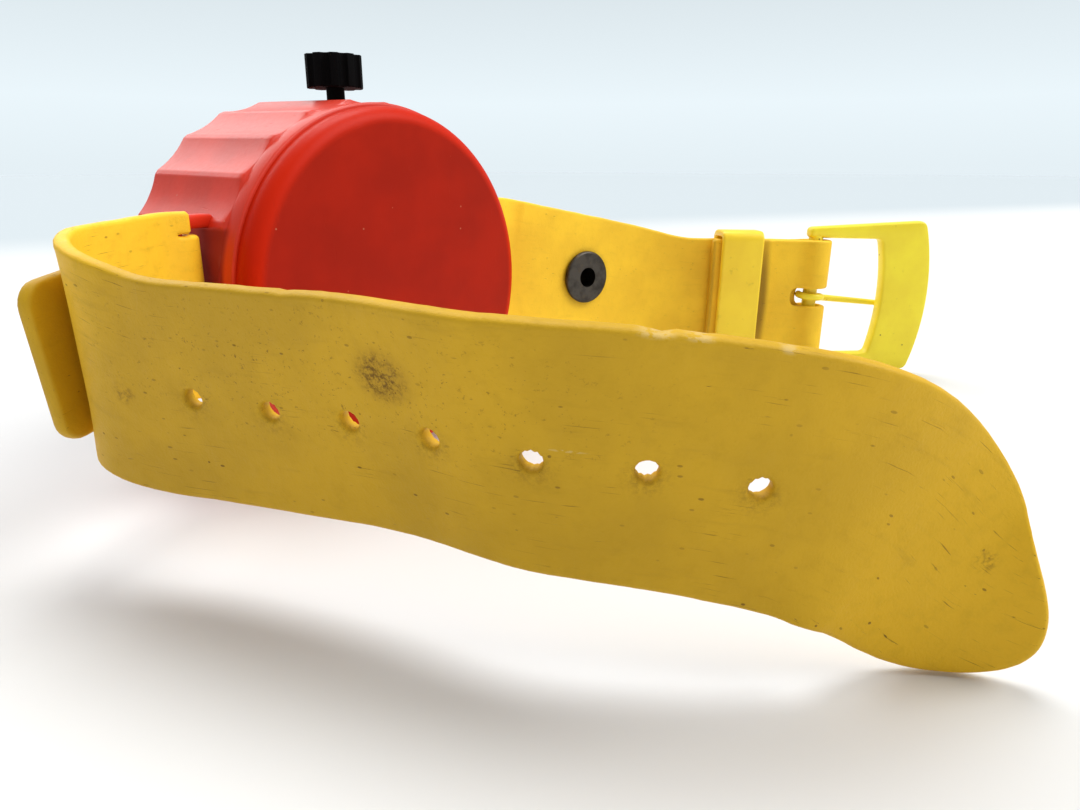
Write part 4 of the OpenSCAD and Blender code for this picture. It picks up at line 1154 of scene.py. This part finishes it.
class WATCH_OT_dial(bpy.types.Operator):
    """Finish the dial, hands and crystal, and print the figures and minute marks"""
    bl_idname = "watch.dial"
    bl_label = "Dial and hands"

    def add_figure(self, context, shape, hour):
        words = bpy.data.curves.new("figure", "FONT")
        words.body = str(hour)
        words.size = FIGURE_SIZE * MM
        words.align_x, words.align_y = "CENTER", "CENTER"
        words.extrude = FIGURE_INK * MM
        words.offset = FIGURE_INK * MM
        figure = bpy.data.objects.new("figure", words)
        context.scene.collection.objects.link(figure)
        a = math.radians(hour * 30)
        where = Vector((-math.sin(a) * FIGURE_RING, DIAL_FACE + 0.05, math.cos(a) * FIGURE_RING)) * MM
        upright = Matrix(((-1, 0, 0), (0, 0, 1), (0, 1, 0))).to_4x4()
        figure.matrix_world = Matrix.Translation(where) @ upright
        context.view_layer.update()
        mesh = figure.to_mesh()
        mesh.transform(figure.matrix_world)
        shape.from_mesh(mesh)
        figure.to_mesh_clear()
        bpy.data.objects.remove(figure)
        bpy.data.curves.remove(words)

    def add_mark(self, shape, minute):
        a = math.radians(minute * 6)
        out = Vector((-math.sin(a), 0, math.cos(a)))
        side = Vector((-math.cos(a), 0, -math.sin(a)))
        deep, wide = MINUTE_MARK if minute % 5 else HOUR_MARK
        corners = []
        for y in (DIAL_FACE, DIAL_FACE + MARK_INK):
            for r, w in ((0, -wide), (0, wide), (deep, wide), (deep, -wide)):
                corners.append(shape.verts.new((out * (MARK_RING - r) + side * w + Vector((0, y, 0))) * MM))
        for face in BOX_FACES:
            shape.faces.new([corners[i] for i in face])

    def execute(self, context):
        colour = context.scene.toy_watch.colour
        dress("dial", moulded_plain("dial_white", colour.white, 0.42, 0.015, 0.08, (0.45, 0.4, 0.32)))
        ink = moulded_plain("dial_black", colour.black, 0.4, 0.01, 0.03, (0.06, 0.06, 0.06))
        for node in ("hour_hand", "minute_hand"):
            dress(node, ink)
        dress("crystal", clear_crystal("crystal_clear"))
        shape = bmesh.new()
        for hour in range(1, 13):
            self.add_figure(context, shape, hour)
        for minute in range(60):
            self.add_mark(shape, minute)
        bmesh.ops.recalc_face_normals(shape, faces=shape.faces)
        mesh = bpy.data.meshes.new("dial_figures")
        shape.to_mesh(mesh)
        shape.free()
        piece = bpy.data.objects.new("dial_figures", mesh)
        context.scene.collection.objects.link(piece)
        mesh.materials.append(ink)
        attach(piece, "case")
        return {"FINISHED"}


class WATCH_OT_movement(bpy.types.Operator):
    """Finish the movement plate and the hand-setting gears"""
    bl_idname = "watch.movement"
    bl_label = "Movement"

    def execute(self, context):
        colour = context.scene.toy_watch.colour
        dress("movement_plate", moulded_plain("plate_white", colour.white, 0.45, 0.02, 0.1, (0.5, 0.45, 0.38)))
        nylon = moulded_plain("gear_nylon", colour.nylon, 0.4, 0.02, 0.05, (0.4, 0.36, 0.28))
        for node in ("minute_arbor", "minute_wheel", "hour_wheel", "stem_pinion"):
            dress(node, nylon)
        return {"FINISHED"}


FLOOR_REACH, FLOOR_ROWS, FLOOR_DROP = 3.0, 12, 0.05
# Where the floor's far part turns darker, in millimetres ahead, and the slant of that line.
FAR_START, FAR_END, FAR_SLANT, FAR_TONE = 225, 430, 0.52, 0.667
# The backdrop's (height, tone) from the floor's edge up.
WALL_TONES = ((0.0, 1.095), (0.07, 1.16), (0.2, 0.98))
SKY = (0.97, 0.985, 1.0, 1)


class WATCH_OT_stage(bpy.types.Operator):
    """Lay the floor, light the watch and set the camera"""
    bl_idname = "watch.stage"
    bl_label = "Stage"

    def lay_floor(self, scene, stage):
        f = new_finish("floor_paper")
        paper = f.mix(f.cloud(f.place(), 0.4, 3) * 0.3, tuple(stage.floor), toned(stage.floor, 0.985))
        ahead = f.vector("DOT_PRODUCT", f.place(), (
            math.sin(stage.yaw) - FAR_SLANT * math.cos(stage.yaw),
            math.cos(stage.yaw) + FAR_SLANT * math.sin(stage.yaw), 0), out=1)
        paper = f.mix(f.ease(ahead, FAR_START, FAR_END), paper, toned(stage.wall, FAR_TONE))
        level = CAD_BOX[0][2] - FLOOR_DROP * MM
        ticks = [FLOOR_REACH * (2 * i / FLOOR_ROWS - 1) for i in range(FLOOR_ROWS + 1)]
        n = len(ticks)
        corners = [i * n + k for i in range(FLOOR_ROWS) for k in range(FLOOR_ROWS)]
        mesh = bpy.data.meshes.new("floor")
        mesh.from_pydata([(x, y, level) for x in ticks for y in ticks], [],
                         [(a, a + n, a + n + 1, a + 1) for a in corners])
        mesh.materials.append(f.close(paper, 0.9, Specular_IOR_Level=0.1))
        floor = bpy.data.objects.new("floor", mesh)
        scene.collection.objects.link(floor)

    def hang_lights(self, scene, stage):
        for name, power, spread, shines in (
                ("main", stage.sun, 30, (-0.22, -0.18, -0.96)),
                ("window", stage.window, 44, (-0.1, -0.78, -0.62)),
                ("side", stage.side, 40, (-0.40, 0.62, -0.68))):
            sun = bpy.data.lights.new(name, "SUN")
            sun.energy = power
            sun.angle = math.radians(spread)
            lamp = bpy.data.objects.new(name, sun)
            lamp.rotation_euler = Vector(shines).to_track_quat("-Z", "Y").to_euler()
            scene.collection.objects.link(lamp)

    def hang_backdrop(self, scene, stage):
        """Even light on the watch, and the wall where the camera looks past it or through its crystal."""
        f = Finish(bpy.data.worlds.new("studio"))
        seen = f.math("MAXIMUM", *(f.node("ShaderNodeLightPath", out=ray)
                                   for ray in ("Is Camera Ray", "Is Transmission Ray")))
        light = f.node("ShaderNodeBackground", sockets={"Color": SKY, "Strength": stage.sky})
        rise = f.part(f.node("ShaderNodeTexCoord", out="Generated"), "Z")
        stops = [(height, toned(stage.wall, tone)) for height, tone in WALL_TONES]
        wall = f.node("ShaderNodeValToRGB", {"stops": stops}, {0: rise})
        back = f.node("ShaderNodeBackground", sockets={"Color": wall, "Strength": 1.0})
        pick = f.node("ShaderNodeMixShader", sockets={0: seen, 1: light, 2: back})
        f.node("ShaderNodeOutputWorld", sockets={"Surface": pick})
        scene.world = f.owner

    def set_camera(self, scene, stage):
        camera = bpy.data.cameras.new("camera")
        camera.lens = stage.lens
        camera.sensor_width = 36
        camera.sensor_fit = "HORIZONTAL"
        camera.clip_start = 0.001
        camera.clip_end = 20
        eye = bpy.data.objects.new("camera", camera)
        eye.location = stage.eye
        eye.rotation_euler = (math.pi / 2 - stage.pitch, 0, -stage.yaw)
        scene.collection.objects.link(eye)
        scene.camera = eye

    def execute(self, context):
        scene = context.scene
        stage = scene.toy_watch.stage
        self.lay_floor(scene, stage)
        self.hang_lights(scene, stage)
        self.hang_backdrop(scene, stage)
        self.set_camera(scene, stage)
        scene.view_settings.view_transform = "Standard"
        return {"FINISHED"}


OPERATORS = (WATCH_OT_stage, WATCH_OT_case, WATCH_OT_movement, WATCH_OT_dial, WATCH_OT_long_strap,
             WATCH_OT_short_strap, WATCH_OT_rivets, WATCH_OT_keeper, WATCH_OT_buckle)


class WATCH_PT_panel(bpy.types.Panel):
    """Settings and pieces of the toy watch"""
    bl_idname = "WATCH_PT_panel"
    bl_label = "Toy watch"
    bl_space_type = "VIEW_3D"
    bl_region_type = "UI"
    bl_category = "Watch"

    def draw(self, context):
        settings = context.scene.toy_watch
        for group in (settings.strap, settings.fitting, settings.colour, settings.stage):
            box = self.layout.box()
            for key in group.bl_rna.properties.keys():
                if key not in ("rna_type", "name"):
                    box.prop(group, key)
        for operator in OPERATORS:
            self.layout.operator(operator.bl_idname)


CLASSES = (StrapSizes, FittingSizes, WatchColours, StageSettings, WatchSettings) + OPERATORS + (WATCH_PT_panel,)


def register():
    for item in CLASSES:
        bpy.utils.register_class(item)
    bpy.types.Scene.toy_watch = bpy.props.PointerProperty(
        type=WatchSettings, name="Toy watch", description="Settings of the toy watch")


def unregister():
    del bpy.types.Scene.toy_watch
    for item in reversed(CLASSES):
        bpy.utils.unregister_class(item)


def main():
    register()
    for operator in OPERATORS:
        group, name = operator.bl_idname.split(".")
        getattr(getattr(bpy.ops, group), name)()
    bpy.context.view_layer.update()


if __name__ == "__main__":
    main()
